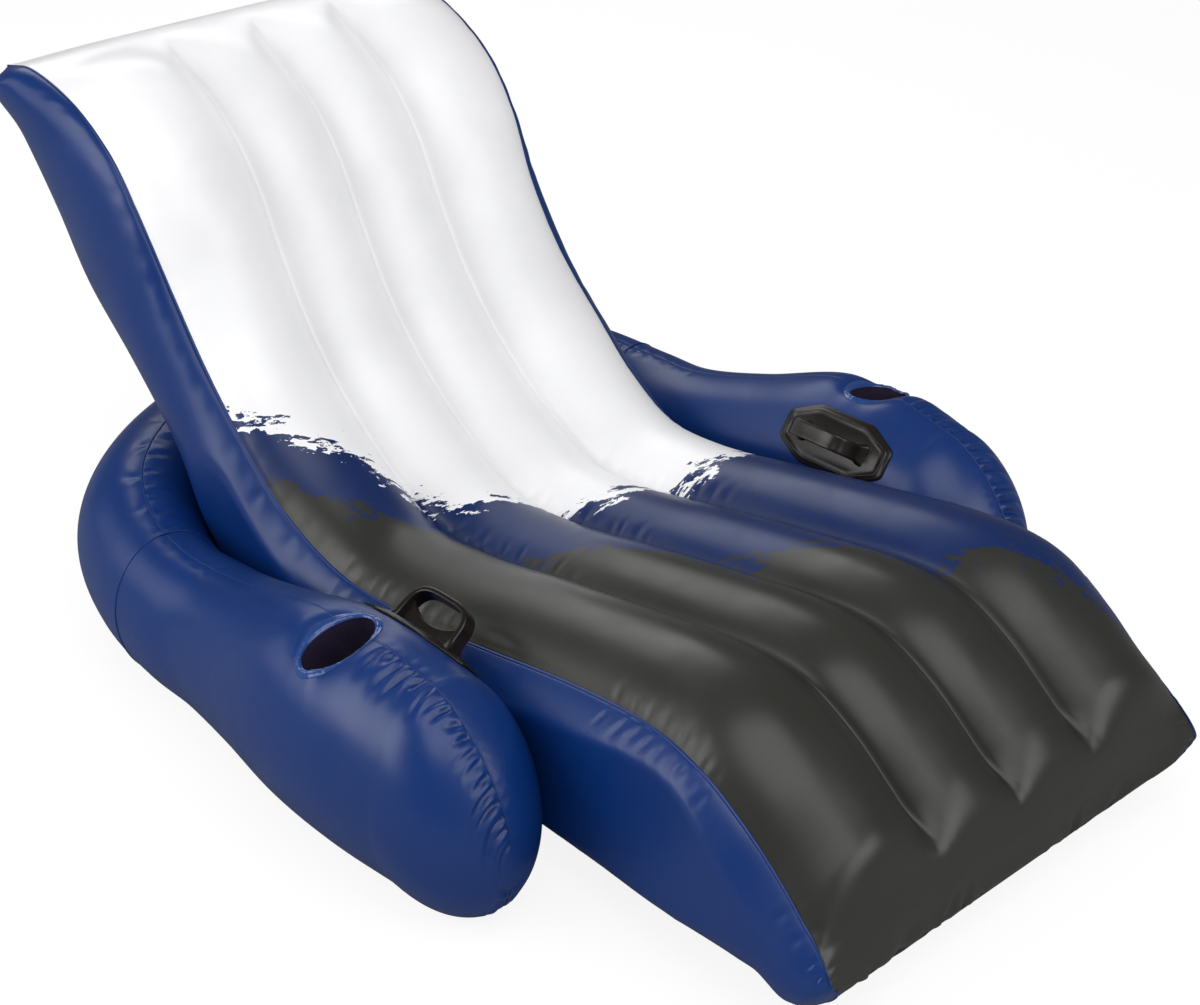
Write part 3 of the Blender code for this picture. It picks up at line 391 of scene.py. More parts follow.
class Lounge:
    """The lounge's lines, read at any share of the way from the foot to the head.

    Places across a sheet run from -2 to 2, a whole number on each weld.
    """

    def __init__(self):
        self.steps = np.linspace(0.0, 1.0, 801)
        rows = curve_through(LOUNGE_ROW_SHARES, self.steps * (len(LOUNGE_ROW_SHARES) - 1))
        rows = rows * np.array((LOUNGE_LENGTH, LOUNGE_HEIGHT) * 3 + (LOUNGE_WIDTH / 2,) * 2)
        rows[:, 5] = np.maximum(rows[:, 5], 0.0)
        rows[:, (0, 2, 4)] += LOUNGE_SHIFT
        normals = [line_normals(rows[:, pair:pair + 2]) for pair in (0, 4)]
        self.rows = np.hstack([rows, normals[0], -normals[1]])
        run = np.linalg.norm(np.diff(rows[:, 0:2], axis=0), axis=1)
        self.arc = np.concatenate([[0.0], np.cumsum(run)])

    def read(self, share, first, count=2):
        columns = [np.interp(share, self.steps, self.rows[:, first + c]) for c in range(count)]
        return np.stack(columns, -1)

    def length_at(self, share):
        return np.interp(share, self.steps, self.arc)

    def open_share(self, share):
        return smooth_step(share / LIP_SHARE) * smooth_step((1.0 - share) / LIP_SHARE)

    def held_share(self, share):
        start = smooth_step((share - WELD_START_SHARE) / WELD_FADE_SHARE)
        return start * smooth_step((WELD_END_SHARE - share) / WELD_FADE_SHARE)

    def weld_line(self, share, across):
        """The top sheet's line, from the channel welds out to the side welds."""
        outer = np.maximum(np.abs(across) - 1.0, 0.0)
        return mix(self.read(share, 0), self.read(share, 2), (outer ** 2)[..., None])

    def sheet(self, across, half, line):
        """Points from places across a sheet, the column of its half width and its (y, z)."""
        return np.concatenate([sheet_x(across, half[..., 0])[..., None], line], -1)

    def top(self, share, across):
        """Points of the top sheet."""
        share, across = np.broadcast_arrays(share, across)
        along = np.abs(across) % 1.0
        along = np.clip((along - GROOVE_SHARE) / (1 - 2 * GROOVE_SHARE), 0.0, 1.0)
        crown = np.where(np.abs(across) > 1.0, OUTER_CROWN, CHANNEL_CROWN)
        held = self.held_share(share)
        rise = held * crown * (4 * along * (1 - along)) ** CHANNEL_ROUNDNESS
        rise += (1 - held) * FOOT_CROWN * (1 - (np.abs(across) / 2) ** 4)
        rise *= self.open_share(share)
        line = self.weld_line(share, across) + self.read(share, 8) * rise[..., None]
        return self.sheet(across, self.read(share, 6, 1), line)

    def under(self, share, across):
        """Points of the underside."""
        share, across = np.broadcast_arrays(share, across)
        along = np.abs(across) % 1.0
        level = np.clip(BASE_FLATNESS * along * (1 - along), 0.0, 1.0) ** CHANNEL_ROUNDNESS
        opened = self.open_share(share)
        rise = (FLOOR_CUT - BASE_CROWN * (1.0 - level) * self.held_share(share)) * opened
        line = self.read(share, 4) + self.read(share, 10) * rise[..., None]
        end = np.where(share < 0.5, 0.0, 1.0)
        tie = self.weld_line(end, across) - self.read(end, 4) - np.array((0.0, WELD_STEP))
        line = line + tie * (1.0 - opened)[..., None]
        line[..., 1] = np.maximum(line[..., 1], 0.0)
        return self.sheet(across, self.read(share, 7, 1), line)

    def side_welds(self, share):
        """Points on the top and on the bottom side weld, and the gusset's depth between them."""
        edge = np.full(share.shape, 2.0)
        high, low = self.top(share, edge), self.under(share, edge)
        return high, low, np.linalg.norm(low - high, axis=-1)

    def gusset(self, share, down, side):
        """Points of a side gusset; down runs from 0 at the top weld to 1 at the bottom weld."""
        share, down = np.broadcast_arrays(share, down)
        high, low, drop = self.side_welds(share)
        points = mix(high, low, down[..., None])
        heel = smooth_step(share / HEEL_SHARE)
        bulge = np.minimum(GUSSET_BULGE, drop * mix(HEEL_BULGE_SHARE, BULGE_LIMIT_SHARE, heel))
        beside_arm = smooth_step((share - KNEE_SHARE) / KNEE_FADE_SHARE)
        limit = LOUNGE_WIDTH / 2 + mix(KNEE_REACH, GUSSET_REACH, beside_arm)
        free = smooth_step((share - BACKREST_SHARE) / BACKREST_FADE_SHARE)
        room = limit - np.maximum(high[..., 0], low[..., 0])
        bulge = mix(bulge, np.minimum(bulge, room + BACKREST_SWELL), free)
        roundness = mix(GUSSET_ROUNDNESS, BACKREST_ROUNDNESS, free)
        x = points[..., 0] + bulge * (4 * down * (1 - down)) ** roundness
        x = soft_limit(x, limit + 2 * BACKREST_SWELL * free)
        points[..., 0] = side * np.maximum(x, points[..., 0])
        return points


def nose_rows(count):
    """Rows over the round nose of an armrest, the first one left out."""
    return LAST_ROW + np.sin(np.linspace(0.0, np.pi / 2, count)[1:])


class Ring:
    """The horseshoe tube, read at any row of its centre line and any angle round it."""

    def __init__(self):
        self.inner_x = LOUNGE_WIDTH / 2 + GUSSET_REACH + PATCH_THICKNESS + 2 * CLEARANCE
        self.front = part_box("lounge_top_sheet")[0][1] + RING_SETBACK
        back_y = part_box("back_tube_outer_panel")[1][1] - BACK_TUBE_WIDTH / 2
        self.steps = np.linspace(0.0, LAST_ROW, 1001)
        depth, out, waist, arm = curve_through(RING_ROW_SHARES, self.steps).T
        width, height = (back + waist * (middle - back) + arm * (front - back)
                         for back, middle, front in (TUBE_WIDTHS, TUBE_HEIGHTS))
        x = -out * (self.inner_x + width / 2)
        y = mix(self.front, back_y, depth)
        travel = np.gradient(np.stack([x, y], -1), axis=0)
        travel[0] = (-1.0, 0.0)
        travel = unit(travel)
        self.rows = np.stack([x, y, (height - FLOOR_CUT) / 2, width, height + FLOOR_CUT,
                              travel[:, 1], -travel[:, 0]], -1)
        self.seam_rows = np.concatenate([self.steps, nose_rows(60)])
        run = np.linalg.norm(np.diff(self.points(self.seam_rows, np.pi, 1), axis=0), axis=1)
        self.seam = np.concatenate([[0.0], np.cumsum(run)])
        self.seam -= np.interp(MITRE_ROW, self.seam_rows, self.seam)

    def seam_at(self, row):
        """Distance along the top weld, from the mitre weld."""
        return np.interp(row, self.seam_rows, self.seam)

    def read(self, row):
        return [np.interp(row, self.steps, column) for column in self.rows.T]

    def points(self, row, angle, side):
        """Points of the tube, turned from 0 below over the outer side to a half turn on top."""
        row, angle = np.broadcast_arrays(row, angle)
        cap = np.maximum(row - LAST_ROW, 0.0)
        x, y, z, width, height, out_x, out_y = self.read(np.minimum(row, LAST_ROW))
        shrink = np.sqrt(np.maximum(1.0 - cap * cap, 0.0))
        z = z - NOSE_DROOP * cap * cap * (1.0 + DROOP_START) / (cap + DROOP_START)
        z = np.maximum(z - np.cos(angle) * height / 2 * shrink, 0.0)
        reach = np.sin(angle)
        squash = ARM_SQUASH * smooth_step((row - MITRE_ROW) / SQUASH_ROWS) * (reach < 0.0)
        radius = reach * (width / 2 + squash) * shrink
        x, y = x + out_x * radius, y - NOSE_LENGTH * cap + out_y * radius
        x = mix(x, soft_limit(x, -self.inner_x), smooth_step((row - MITRE_ROW) * 4))
        return np.stack([-side * x, y, z], -1)

    def row_at_y(self, y):
        rows = np.linspace(MITRE_ROW, LAST_ROW, 2001)
        return float(np.interp(-y, -self.read(rows)[1], rows))


def cut_hole(inside, neighbours):
    """The points on a hole's edge, and the faces that stay round it."""
    edge = np.zeros(inside.shape, bool)
    for step in neighbours:
        edge |= inside & ~np.roll(inside, step, (0, 1))
    cut = inside & ~edge
    keep = ~(cut[:-1, :-1] | cut[1:, :-1] | cut[1:, 1:] | cut[:-1, 1:])
    return edge, keep & ~(edge[:-1, :-1] & edge[1:, :-1] & edge[1:, 1:] & edge[:-1, 1:])


def seat_film(points, valve, outward):
    """Film points level with a valve's flange and out of its hole, and the faces that stay."""
    def split(places):
        rise = (places - middle) @ axis
        flat = places - middle - rise[..., None] * axis
        return rise, flat, np.linalg.norm(flat, axis=-1)

    node = frame["nodes"][valve]
    corners = np.array([node.matrix_world @ vertex.co for vertex in node.data.vertices])
    middle = corners.mean(axis=0)
    axis = np.linalg.svd(corners - middle)[2][2]
    axis = axis * np.sign(axis @ np.array(outward))
    rise, _, away = split(corners)
    rim = np.max(away)
    seat = np.min(rise[away > RIM_BAND * rim])
    rise, flat, away = split(points)
    share = 1.0 - smooth_step((away - rim - VALVE_MARGIN) / VALVE_FADE)
    share = np.where(np.abs(rise - seat) < VALVE_FADE, share, 0.0)
    edge, keep = cut_hole((away < VALVE_HOLE_RADIUS) & (share > 0.0), BESIDE)
    push = np.maximum(VALVE_HOLE_RADIUS / np.maximum(away, MERGE_DISTANCE) - 1.0, 0.0)
    points = points - axis * (share * (rise - seat + CLEARANCE))[..., None]
    return points + flat * np.where(edge, push, 0.0)[..., None], keep


def link(piece):
    bpy.context.scene.collection.objects.link(piece)
    return piece


def settle(piece, nodes=()):
    """Tells the frame what a finished piece rides on, and hides the solids that it replaces."""
    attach(piece, "chair")
    if nodes:
        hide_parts(*nodes)


def panel(name, points, normals, look, nodes=(), coordinates=None, keep=None, gauge=GAUGE,
          wrap=False):
    """A film panel or moulding from a grid of points, its faces turned the way of its normals."""
    rows, columns = points.shape[:2]
    index = np.arange(rows * columns).reshape(rows, columns)
    if wrap:
        index = np.hstack([index, index[:, :1]])
    faces = np.stack([index[:-1, :-1], index[1:, :-1], index[1:, 1:], index[:-1, 1:]], -1)
    faces = faces.reshape(-1, 4)
    if keep is not None:
        faces = faces[keep.ravel()]
    places = points.reshape(-1, 3)
    first, second = (places[faces[:, far]] - places[faces[:, near]]
                     for near, far in ((0, 2), (1, 3)))
    if np.sum(np.cross(first, second) * normals.reshape(-1, 3)[faces[:, 0]]) < 0.0:
        faces = faces[:, ::-1]
    used, corners = np.unique(faces, return_inverse=True)
    mesh = bpy.data.meshes.new(name)
    mesh.from_pydata(places[used].tolist(), [], corners.reshape(-1, 4).tolist())
    if coordinates is not None:
        layer = mesh.uv_layers.new(name="film")
        corner = np.zeros(len(mesh.loops), np.int32)
        mesh.loops.foreach_get("vertex_index", corner)
        flat = coordinates.reshape(-1, 2)[used][corner]
        layer.data.foreach_set("uv", flat.astype(np.float32).ravel())
    joined = bmesh.new()
    joined.from_mesh(mesh)
    bmesh.ops.remove_doubles(joined, verts=joined.verts, dist=MERGE_DISTANCE)
    joined.to_mesh(mesh)
    joined.free()
    mesh.materials.append(LOOKS[look])
    mesh.shade_smooth()
    piece = link(bpy.data.objects.new(name, mesh))
    if gauge:
        skin = piece.modifiers.new("gauge", "SOLIDIFY")
        skin.thickness = gauge
        skin.offset = -1.0
    settle(piece, nodes)


def moulding(name, frame, local, outward, look, nodes=(), gauge=0.0):
    """A piece closed all round, drawn in a frame of its own."""
    panel(name, local @ frame[1] + frame[0], outward @ frame[1], look, nodes, gauge=gauge,
          wrap=True)


def pucker_field(along, away, places, seed, depth, width, length, lean=0.25):
    """Folds that run away from a weld: a sharp valley at each place along it, full film between."""
    chance = np.random.default_rng(seed)
    total = np.zeros(np.broadcast_shapes(along.shape, away.shape))
    for place in places:
        tall = depth * chance.uniform(0.45, 1.15)
        wide = width * chance.uniform(0.7, 1.3)
        long = length * chance.uniform(0.5, 1.25)
        turn = lean * chance.uniform(-1.0, 1.0)
        place = place + width * chance.uniform(-0.8, 0.8)
        reach = np.clip(away / long, 0.0, 1.0)
        across = np.abs(along - place - turn * away) / (wide * (0.7 + 0.9 * reach))
        fade = 1.0 - smooth_step((reach - PUCKER_HOLD) / (1.0 - PUCKER_HOLD))
        fade = tall * fade * mix(PUCKER_ROOT, 1.0, smooth_step(away / PUCKER_START))
        total += fade * (PUCKER_SWELL * bell(across - 2.1, 1.1) - np.exp(-across ** 1.4))
    return total


def puckers(along, away, table, shift):
    """The sum of a table's fields of puckers, their seeds shifted."""
    return sum(pucker_field(along, away, places, seed + shift, *fold)
               for places, seed, *fold in table)


def seam_pinch(away):
    """How far film is drawn in beside a weld."""
    return -SEAM_PINCH * np.exp(-np.abs(away) / SEAM_PINCH_WIDTH)


class Tree:
    """Adds and links nodes of a tree with few words."""

    def __init__(self, tree):
        self.tree = tree

    def add(self, kind, inputs=None, **settings):
        node = self.tree.nodes.new(kind)
        for name, value in settings.items():
            setattr(node, name, value)
        for name, value in (inputs or {}).items():
            self.wire(value, node.inputs[name])
        return node

    def wire(self, value, socket):
        if isinstance(value, bpy.types.NodeSocket):
            self.tree.links.new(value, socket)
        else:
            socket.default_value = value

    def math(self, operation, first, second=0.0, third=0.0):
        return self.add("ShaderNodeMath", {0: first, 1: second, 2: third},
                        operation=operation).outputs[0]

    def sway(self, value, amount, base):
        """A value about a half turned into a swing of an amount about a base."""
        return self.math("MULTIPLY_ADD", self.math("SUBTRACT", value, 0.5), amount, base)

    def ramp(self, value, low, high):
        return self.add("ShaderNodeMapRange", {"Value": value, "From Min": low, "From Max": high},
                        interpolation_type="SMOOTHSTEP", clamp=True).outputs[0]

    def blend(self, share, first, second):
        return self.add("ShaderNodeMix", {0: share, 6: first, 7: second},
                        data_type="RGBA").outputs[2]

    def noise(self, place, scale, detail=3.0, roughness=0.5, **more):
        return self.add("ShaderNodeTexNoise", {"Vector": place, "Scale": scale, "Detail": detail,
                                               "Roughness": roughness, **more}).outputs["Fac"]

    def scaled(self, place, scale, location=(0.0, 0.0, 0.0), rotation=(0.0, 0.0, 0.0)):
        return self.add("ShaderNodeMapping", {"Vector": place, "Scale": scale, "Location": location,
                                              "Rotation": rotation}).outputs[0]

    def change(self, kind, geometry, **inputs):
        """Geometry after a node whose first socket takes it."""
        return self.add(kind, {0: geometry, **inputs}).outputs[0]


def sockets(group, inputs, outputs):
    """Names a group's sockets; each input is (name, kind, default value or None)."""
    for name, kind, value in inputs:
        socket = group.interface.new_socket(name=name, in_out="INPUT", socket_type=kind)
        if value is not None:
            socket.default_value = value
    for name, kind in outputs:
        group.interface.new_socket(name=name, in_out="OUTPUT", socket_type=kind)


def film_group():
    """Shared relief of calendered film: fine grain, soft creases, uneven gloss, handling marks."""
    group = bpy.data.node_groups.new("film_relief", "ShaderNodeTree")
    sockets(group, [(name, "NodeSocketFloat", None) for name in ("Crease Depth", "Grain", "Gloss")],
            [(name, "NodeSocketFloat") for name in ("Height", "Roughness", "Shade")])
    tree = Tree(group)
    given = tree.add("NodeGroupInput").outputs
    place = tree.add("ShaderNodeTexCoord").outputs["Object"]
    grain = tree.noise(place, 900.0, 2.0)
    soft = tree.noise(place, 9.0, 3.0, 0.45, Distortion=0.6)
    crease = tree.math("SUBTRACT", tree.noise(place, 26.0, 4.0, 0.55, Distortion=1.2), 0.5)
    crease = tree.math("SUBTRACT", 1.0, tree.ramp(tree.math("ABSOLUTE", crease), 0.0, 0.07))
    crease = tree.math("MULTIPLY", crease, tree.ramp(tree.noise(place, 3.1, 2.0), 0.52, 0.72))
    height = tree.math("MULTIPLY_ADD", soft, 1.6, crease)
    height = tree.math("MULTIPLY", height, given["Crease Depth"])
    height = tree.math("MULTIPLY_ADD", grain, given["Grain"], height)
    rough = tree.sway(soft, 0.22, given["Gloss"])
    rough = tree.sway(tree.noise(place, 60.0), 0.06, rough)
    shade = tree.sway(tree.noise(place, 5.0), 0.22, 1.0)
    tree.add("NodeGroupOutput", {"Height": height, "Roughness": rough, "Shade": shade})
    return group


def shader(name):
    material = bpy.data.materials.new(name)
    material.use_nodes = True
    return material, Tree(material.node_tree), material.node_tree.nodes["Principled BSDF"]


def add_relief(tree, surface, colour, relief, crease, grain, gloss, strength):
    """Wires a colour and the shared relief into a surface."""
    node = tree.add("ShaderNodeGroup", node_tree=relief)
    for name, value in (("Crease Depth", crease), ("Grain", grain), ("Gloss", gloss)):
        tree.wire(value, node.inputs[name])
    bump = tree.add("ShaderNodeBump", {"Strength": strength, "Distance": BUMP_DISTANCE,
                                       "Height": node.outputs["Height"]})
    shaded = tree.add("ShaderNodeVectorMath", operation="SCALE")
    tree.wire(colour, shaded.inputs[0])
    tree.wire(node.outputs["Shade"], shaded.inputs["Scale"])
    for name, value in (("Normal", bump.outputs[0]), ("Roughness", node.outputs["Roughness"]),
                        ("Base Color", shaded.outputs[0])):
        tree.wire(value, surface.inputs[name])


def make_film(name, colour, relief, gloss, crease, specular=0.5, coat=0.0):
    material, tree, surface = shader(name)
    tone = tree.add("ShaderNodeRGB")
    tone.outputs[0].default_value = colour
    add_relief(tree, surface, tone.outputs[0], relief, crease, 0.10, gloss, 0.5)
    surface.inputs["Specular IOR Level"].default_value = specular
    surface.inputs["Coat Weight"].default_value = coat
    surface.inputs["Coat Roughness"].default_value = COAT_ROUGHNESS
    return material


def ragged_border(tree, sheet, start, slope, bend, seed, reach):
    """A mask that is 1 past a dry-brushed border across the sheet, which climbs with slope."""
    across, along, _ = tree.add("ShaderNodeSeparateXYZ", {0: sheet}).outputs
    line = tree.math("MULTIPLY_ADD", across, slope, start)
    line = tree.math("MULTIPLY_ADD", tree.math("MULTIPLY", across, across), bend, line)
    away = tree.math("SUBTRACT", along, line)
    turned = tree.scaled(sheet, (1.0, 1.0, 1.0), rotation=(0.0, 0.0, -math.atan(slope)))
    for scale, detail, rough, twist, share in PRINT_LAYERS:
        place = tree.scaled(turned, scale, (seed, seed / 2, 0.0))
        wave = tree.noise(place, 1.0, detail, rough, Distortion=twist)
        away = tree.sway(wave, reach * share, away)
    return tree.ramp(away, -PRINT_EDGE, PRINT_EDGE)


def make_print(relief):
    """White film printed with a blue band and a charcoal foot, with brushed borders."""
    material, tree, surface = shader("printed_vinyl_look")
    sheet = tree.add("ShaderNodeUVMap", uv_map="film").outputs[0]
    ink = tree.blend(ragged_border(tree, sheet, *PRINT_BLUE_BORDER), NAVY_PRINT, WHITE)
    ink = tree.blend(ragged_border(tree, sheet, *PRINT_GREY_BORDER), CHARCOAL, ink)
    add_relief(tree, surface, ink, relief, 0.16, 0.08, 0.34, 0.45)
    return material


def make_materials():
    relief = film_group()
    LOOKS["print"] = make_print(relief)
    for look, (name, *values) in FILMS.items():
        LOOKS[look] = make_film(name, values[0], relief, *values[1:])


def bead_group():
    """Geometry Nodes: an uneven welded bead along lines whose points carry an outward direction."""
    group = bpy.data.node_groups.new("weld_bead", "GeometryNodeTree")
    sockets(group, (("Geometry", "NodeSocketGeometry", None), ("Width", "NodeSocketFloat", 0.002),
                    ("Height", "NodeSocketFloat", 0.001), ("Unevenness", "NodeSocketFloat", 0.3),
                    ("Ripple Scale", "NodeSocketFloat", 60.0),
                    ("Material", "NodeSocketMaterial", None)),
            (("Geometry", "NodeSocketGeometry"),))
    tree = Tree(group)
    given = tree.add("NodeGroupInput").outputs
    out = tree.add("GeometryNodeInputNamedAttribute", {"Name": "out"}, data_type="FLOAT_VECTOR")
    line = tree.change("GeometryNodeMeshToCurve", given["Geometry"])
    line = tree.add("GeometryNodeSetCurveNormal", {"Curve": line, "Normal": out.outputs[0]},
                    mode="FREE").outputs[0]
    place = tree.add("GeometryNodeInputPosition").outputs[0]
    ripple = tree.noise(place, given["Ripple Scale"], 2.0)
    size = tree.sway(ripple, given["Unevenness"], 1.0)
    line = tree.change("GeometryNodeSetCurveRadius", line, Radius=size)
    ring = tree.add("GeometryNodeCurvePrimitiveCircle", {"Resolution": 10, "Radius": 1.0},
                    mode="RADIUS")
    scale = tree.add("ShaderNodeCombineXYZ", {"X": given["Height"], "Y": given["Width"], "Z": 1.0})
    ring = tree.change("GeometryNodeTransform", ring.outputs[0], Scale=scale.outputs[0])
    bead = tree.add("GeometryNodeCurveToMesh", {"Curve": line, "Profile Curve": ring, "Scale": size,
                                                "Fill Caps": True}).outputs[0]
    bead = tree.change("GeometryNodeSetShadeSmooth", bead)
    bead = tree.change("GeometryNodeRealizeInstances", bead)
    bead = tree.change("GeometryNodeSetMaterial", bead, Material=given["Material"])
    tree.add("NodeGroupOutput", {"Geometry": bead})
    return group


def make_beads(name, group, lines, width, height):
    """One piece of welded beads along lines, each a pair of points and outward directions."""
    points, outs = (np.concatenate(part) for part in zip(*lines))
    edges, first = [], 0
    for line, _ in lines:
        edges += [(first + step, first + step + 1) for step in range(len(line) - 1)]
        first += len(line)
    mesh = bpy.data.meshes.new(name + "_line")
    mesh.from_pydata(points.tolist(), edges, [])
    layer = mesh.attributes.new("out", "FLOAT_VECTOR", "POINT")
    layer.data.foreach_set("vector", outs.astype(np.float32).ravel())
    guide = link(bpy.data.objects.new(name + "_line", mesh))
    bead = guide.modifiers.new("bead", "NODES")
    bead.node_group = group
    values = {"Width": width, "Height": height, "Unevenness": 0.3, "Material": LOOKS["navy"]}
    for item in group.interface.items_tree:
        if item.name in values and item.in_out == "INPUT":
            bead[item.identifier] = values[item.name]
    whole = guide.evaluated_get(bpy.context.evaluated_depsgraph_get())
    piece = link(bpy.data.objects.new(name, bpy.data.meshes.new_from_object(whole)))
    piece.data.name = name
    bpy.data.objects.remove(guide, do_unlink=True)
    settle(piece)


def film_coordinates(lounge, share, across):
    """Flat places on the top sheet: across and along it, in metres."""
    share, across = np.broadcast_arrays(share, across)
    return np.stack([sheet_x(across, LOUNGE_WIDTH / 2), lounge.length_at(share)], -1)


def dense_across(each):
    """Places across the sheet, closer together beside each weld."""
    places = [channel + eased(each + 1, 0.6)[:-1] for channel in range(-2, 2)]
    return np.append(np.concatenate(places), 2.0)[None, :]


def dense_along(lounge, count):
    """Shares along the lounge, closer together where the film is puckered."""
    steps = np.linspace(0.0, 1.0, 2001)
    along = lounge.length_at(steps)
    weight = 1.0 + sum(1.8 * bell(along - middle, width) for middle, width in DENSE_PLACES)
    total = np.concatenate([[0.0], np.cumsum(weight[1:] * np.diff(along))])
    return np.interp(np.linspace(0.0, total[-1], count), total, steps)


def round_fold(points, places, fold, radius):
    """Rounds a fold across a sheet: rows near it move to the mean of the rows around them."""
    reach = radius * (1.0 - smooth_step(np.abs(places - fold) / (3.0 * radius)))
    total = np.zeros(points.shape)
    steps = np.linspace(-1.0, 1.0, 11)
    for step in steps:
        here = np.interp(places + step * reach, places, np.arange(len(places), dtype=float))
        first = np.minimum(here.astype(int), len(places) - 2)
        total += mix(points[first], points[first + 1], (here - first)[:, None, None])
    return total / len(steps)


def make_lounge(lounge):
    """The printed sheet, wrapped round the foot and the head, the underside and the sides."""
    share, across = dense_along(lounge, TOP_ROWS)[:, None], dense_across(TOP_COLUMNS)
    points = lounge.top(share, across)
    normals = grid_normals(points, (0.0, -0.3, 1.0))
    points = points + normals * lounge_top_relief(lounge, share, across)[..., None]
    inside = smooth_step((2.0 - np.abs(across)) / SIDE_FADE)[..., None]

    wrap = np.linspace(FOOT_WRAP_SHARE, 0.0, 16)[:-1, None]
    tuck = lounge.under(wrap, across)
    front = grid_normals(tuck, (0.0, -0.3, -1.0))
    folds = foot_folds(*np.broadcast_arrays(across, lounge.length_at(wrap)))
    tuck = tuck + front * folds[..., None] * inside
    tuck[..., 2] = np.maximum(tuck[..., 2], 0.0)

    fold = np.linspace(1.0, 1.0 - HEAD_WRAP_SHARE, 12)[1:, None]
    behind = lounge.under(fold, across)
    rear = grid_normals(behind, (0.0, 1.0, -0.3))
    whole, past = lounge.length_at(1.0), lounge.length_at(fold)
    behind_flat = film_coordinates(lounge, 2.0 - fold, across)
    behind_flat[..., 1] += 2 * (whole - past)

    flat = np.concatenate([film_coordinates(lounge, wrap, across) * np.array((1.0, -1.0)),
                           film_coordinates(lounge, share, across), behind_flat])
    places = [-lounge.length_at(wrap), lounge.length_at(share), 2 * whole - past]
    places = np.concatenate(places)[:, 0]
    points = np.concatenate([tuck, points, behind])
    for fold_at, radius in ((0.0, FOOT_ROUNDING), (whole, HEAD_ROUNDING)):
        points = mix(points, round_fold(points, places, fold_at, radius), inside)
    points[..., 2] = np.maximum(points[..., 2], 0.0)
    panel("lounge_top", points, np.concatenate([front, normals, rear]), "print",
          ["lounge_top_sheet"], flat)

    low_share = np.linspace(FOOT_WRAP_SHARE, 1.0 - HEAD_WRAP_SHARE, UNDER_ROWS)[:, None]
    points = lounge.under(low_share, dense_across(UNDER_COLUMNS))
    points, keep = seat_film(points, "lounge_valve_flange", (0.0, 1.0, -0.5))
    normals = grid_normals(points, (0.0, 0.3, -1.0))
    panel("lounge_underside", points, normals, "navy", ["lounge_bottom_sheet"], keep=keep)

    down = eased(GUSSET_COLUMNS, 0.5)[None, :]
    for name, side in SIDES:
        points = lounge.gusset(share, down, side)
        normals = grid_normals(points, (side, 0.0, 0.0))
        points = points + normals * gusset_relief(lounge, share, down, side)[..., None]
        panel(f"lounge_{name}_side", points, normals, "navy", [f"lounge_{name}_gusset"])


def lounge_top_relief(lounge, share, across):
    """Puckers along the side welds, the channel ends, the foot and the bend of the seat."""
    share, across = np.broadcast_arrays(share, across)
    along, held = lounge.length_at(share), lounge.held_share(share)
    total = np.zeros(share.shape)
    outer = lounge.read(share, 6, 1)[..., 0] - CHANNEL_WIDTH
    for side in (-1, 1):
        away = np.where(side * across > 1.0, np.clip(2.0 - side * across, 0.0, None) * outer, 1.0)
        total += puckers(along, away, TOP_PUCKERS, side)
    past_end = np.clip(WELD_FOOT_LENGTH - along, 0.0, None)
    near_end = smooth_step((WELD_FOOT_LENGTH + 0.02 - along) / 0.03)
    for weld in (-1, 0, 1):
        away = np.abs(across - weld) * CHANNEL_WIDTH
        total += puckers(along, away, CHANNEL_PUCKERS, weld) * held
        total -= WELD_END_DIP * bell(along - WELD_FOOT_LENGTH, 0.030) * bell(away, 0.020)
        table = ((weld * CHANNEL_WIDTH + WELD_END_PUCKERS, *WELD_END_FOLD),)
        total += puckers(across * CHANNEL_WIDTH, past_end, table, weld) * near_end
    inside = smooth_step((2.0 - np.abs(across)) / SIDE_FADE)
    total += foot_folds(across, along) * inside
    for rise, place, width in (FOOT_ROLL, FOOT_VALLEY):
        total += rise * inside * bell(along - place, width)
    return total * smooth_step((1.0 - share) / 0.02)


def make_webs(lounge):
    """The strips that tie the channel welds to the underside."""
    share = np.linspace(WEB_START_SHARE, WEB_END_SHARE, 120)[:, None]
    step = np.linspace(0.0, 1.0, 6)[None, :, None]
    for name, weld in (("right", -1.0), ("centre", 0.0), ("left", 1.0)):
        high, low = (
            draw(share, weld) - WEB_DROP * np.insert(lounge.read(share, column), 0, 0.0, -1)
            for draw, column in ((lounge.top, 8), (lounge.under, 10)))
        points = mix(high, low, step)
        normals = np.broadcast_to((1.0, 0.0, 0.0), points.shape)
        panel(f"lounge_{name}_tie", points, normals, "navy", [f"lounge_{name}_web"])


def foot_folds(across, away):
    """Folds that rise over the foot's front edge, deepest on the edge itself."""
    chance = np.random.default_rng(77)
    total = np.zeros(away.shape)
    for place in FOOT_FOLDS:
        deep, wide, long = FOOT_FOLD * chance.uniform(0.5, 1.2, 3)
        turn = chance.uniform(-0.35, 0.35)
        over = across * CHANNEL_WIDTH - place - turn * away
        over = np.abs(over / (wide * (0.8 + away / long)))
        fade = deep * (1.0 - smooth_step(away / long))
        total += fade * (0.35 * bell(over - 2.0, 1.1) - np.exp(-over ** 1.3))
    return total


def gusset_relief(lounge, share, down, side):
    share, down = np.broadcast_arrays(share, down)
    along, drop = lounge.length_at(share), lounge.side_welds(share)[2]
    seed = 71 if side < 0 else 81
    total = puckers(along, down * drop, GUSSET_PUCKERS, seed)
    total += puckers(along, (1 - down) * drop, GUSSET_LOW_PUCKERS, seed)
    return total * smooth_step(share / 0.03) * smooth_step((1 - share) / 0.03)


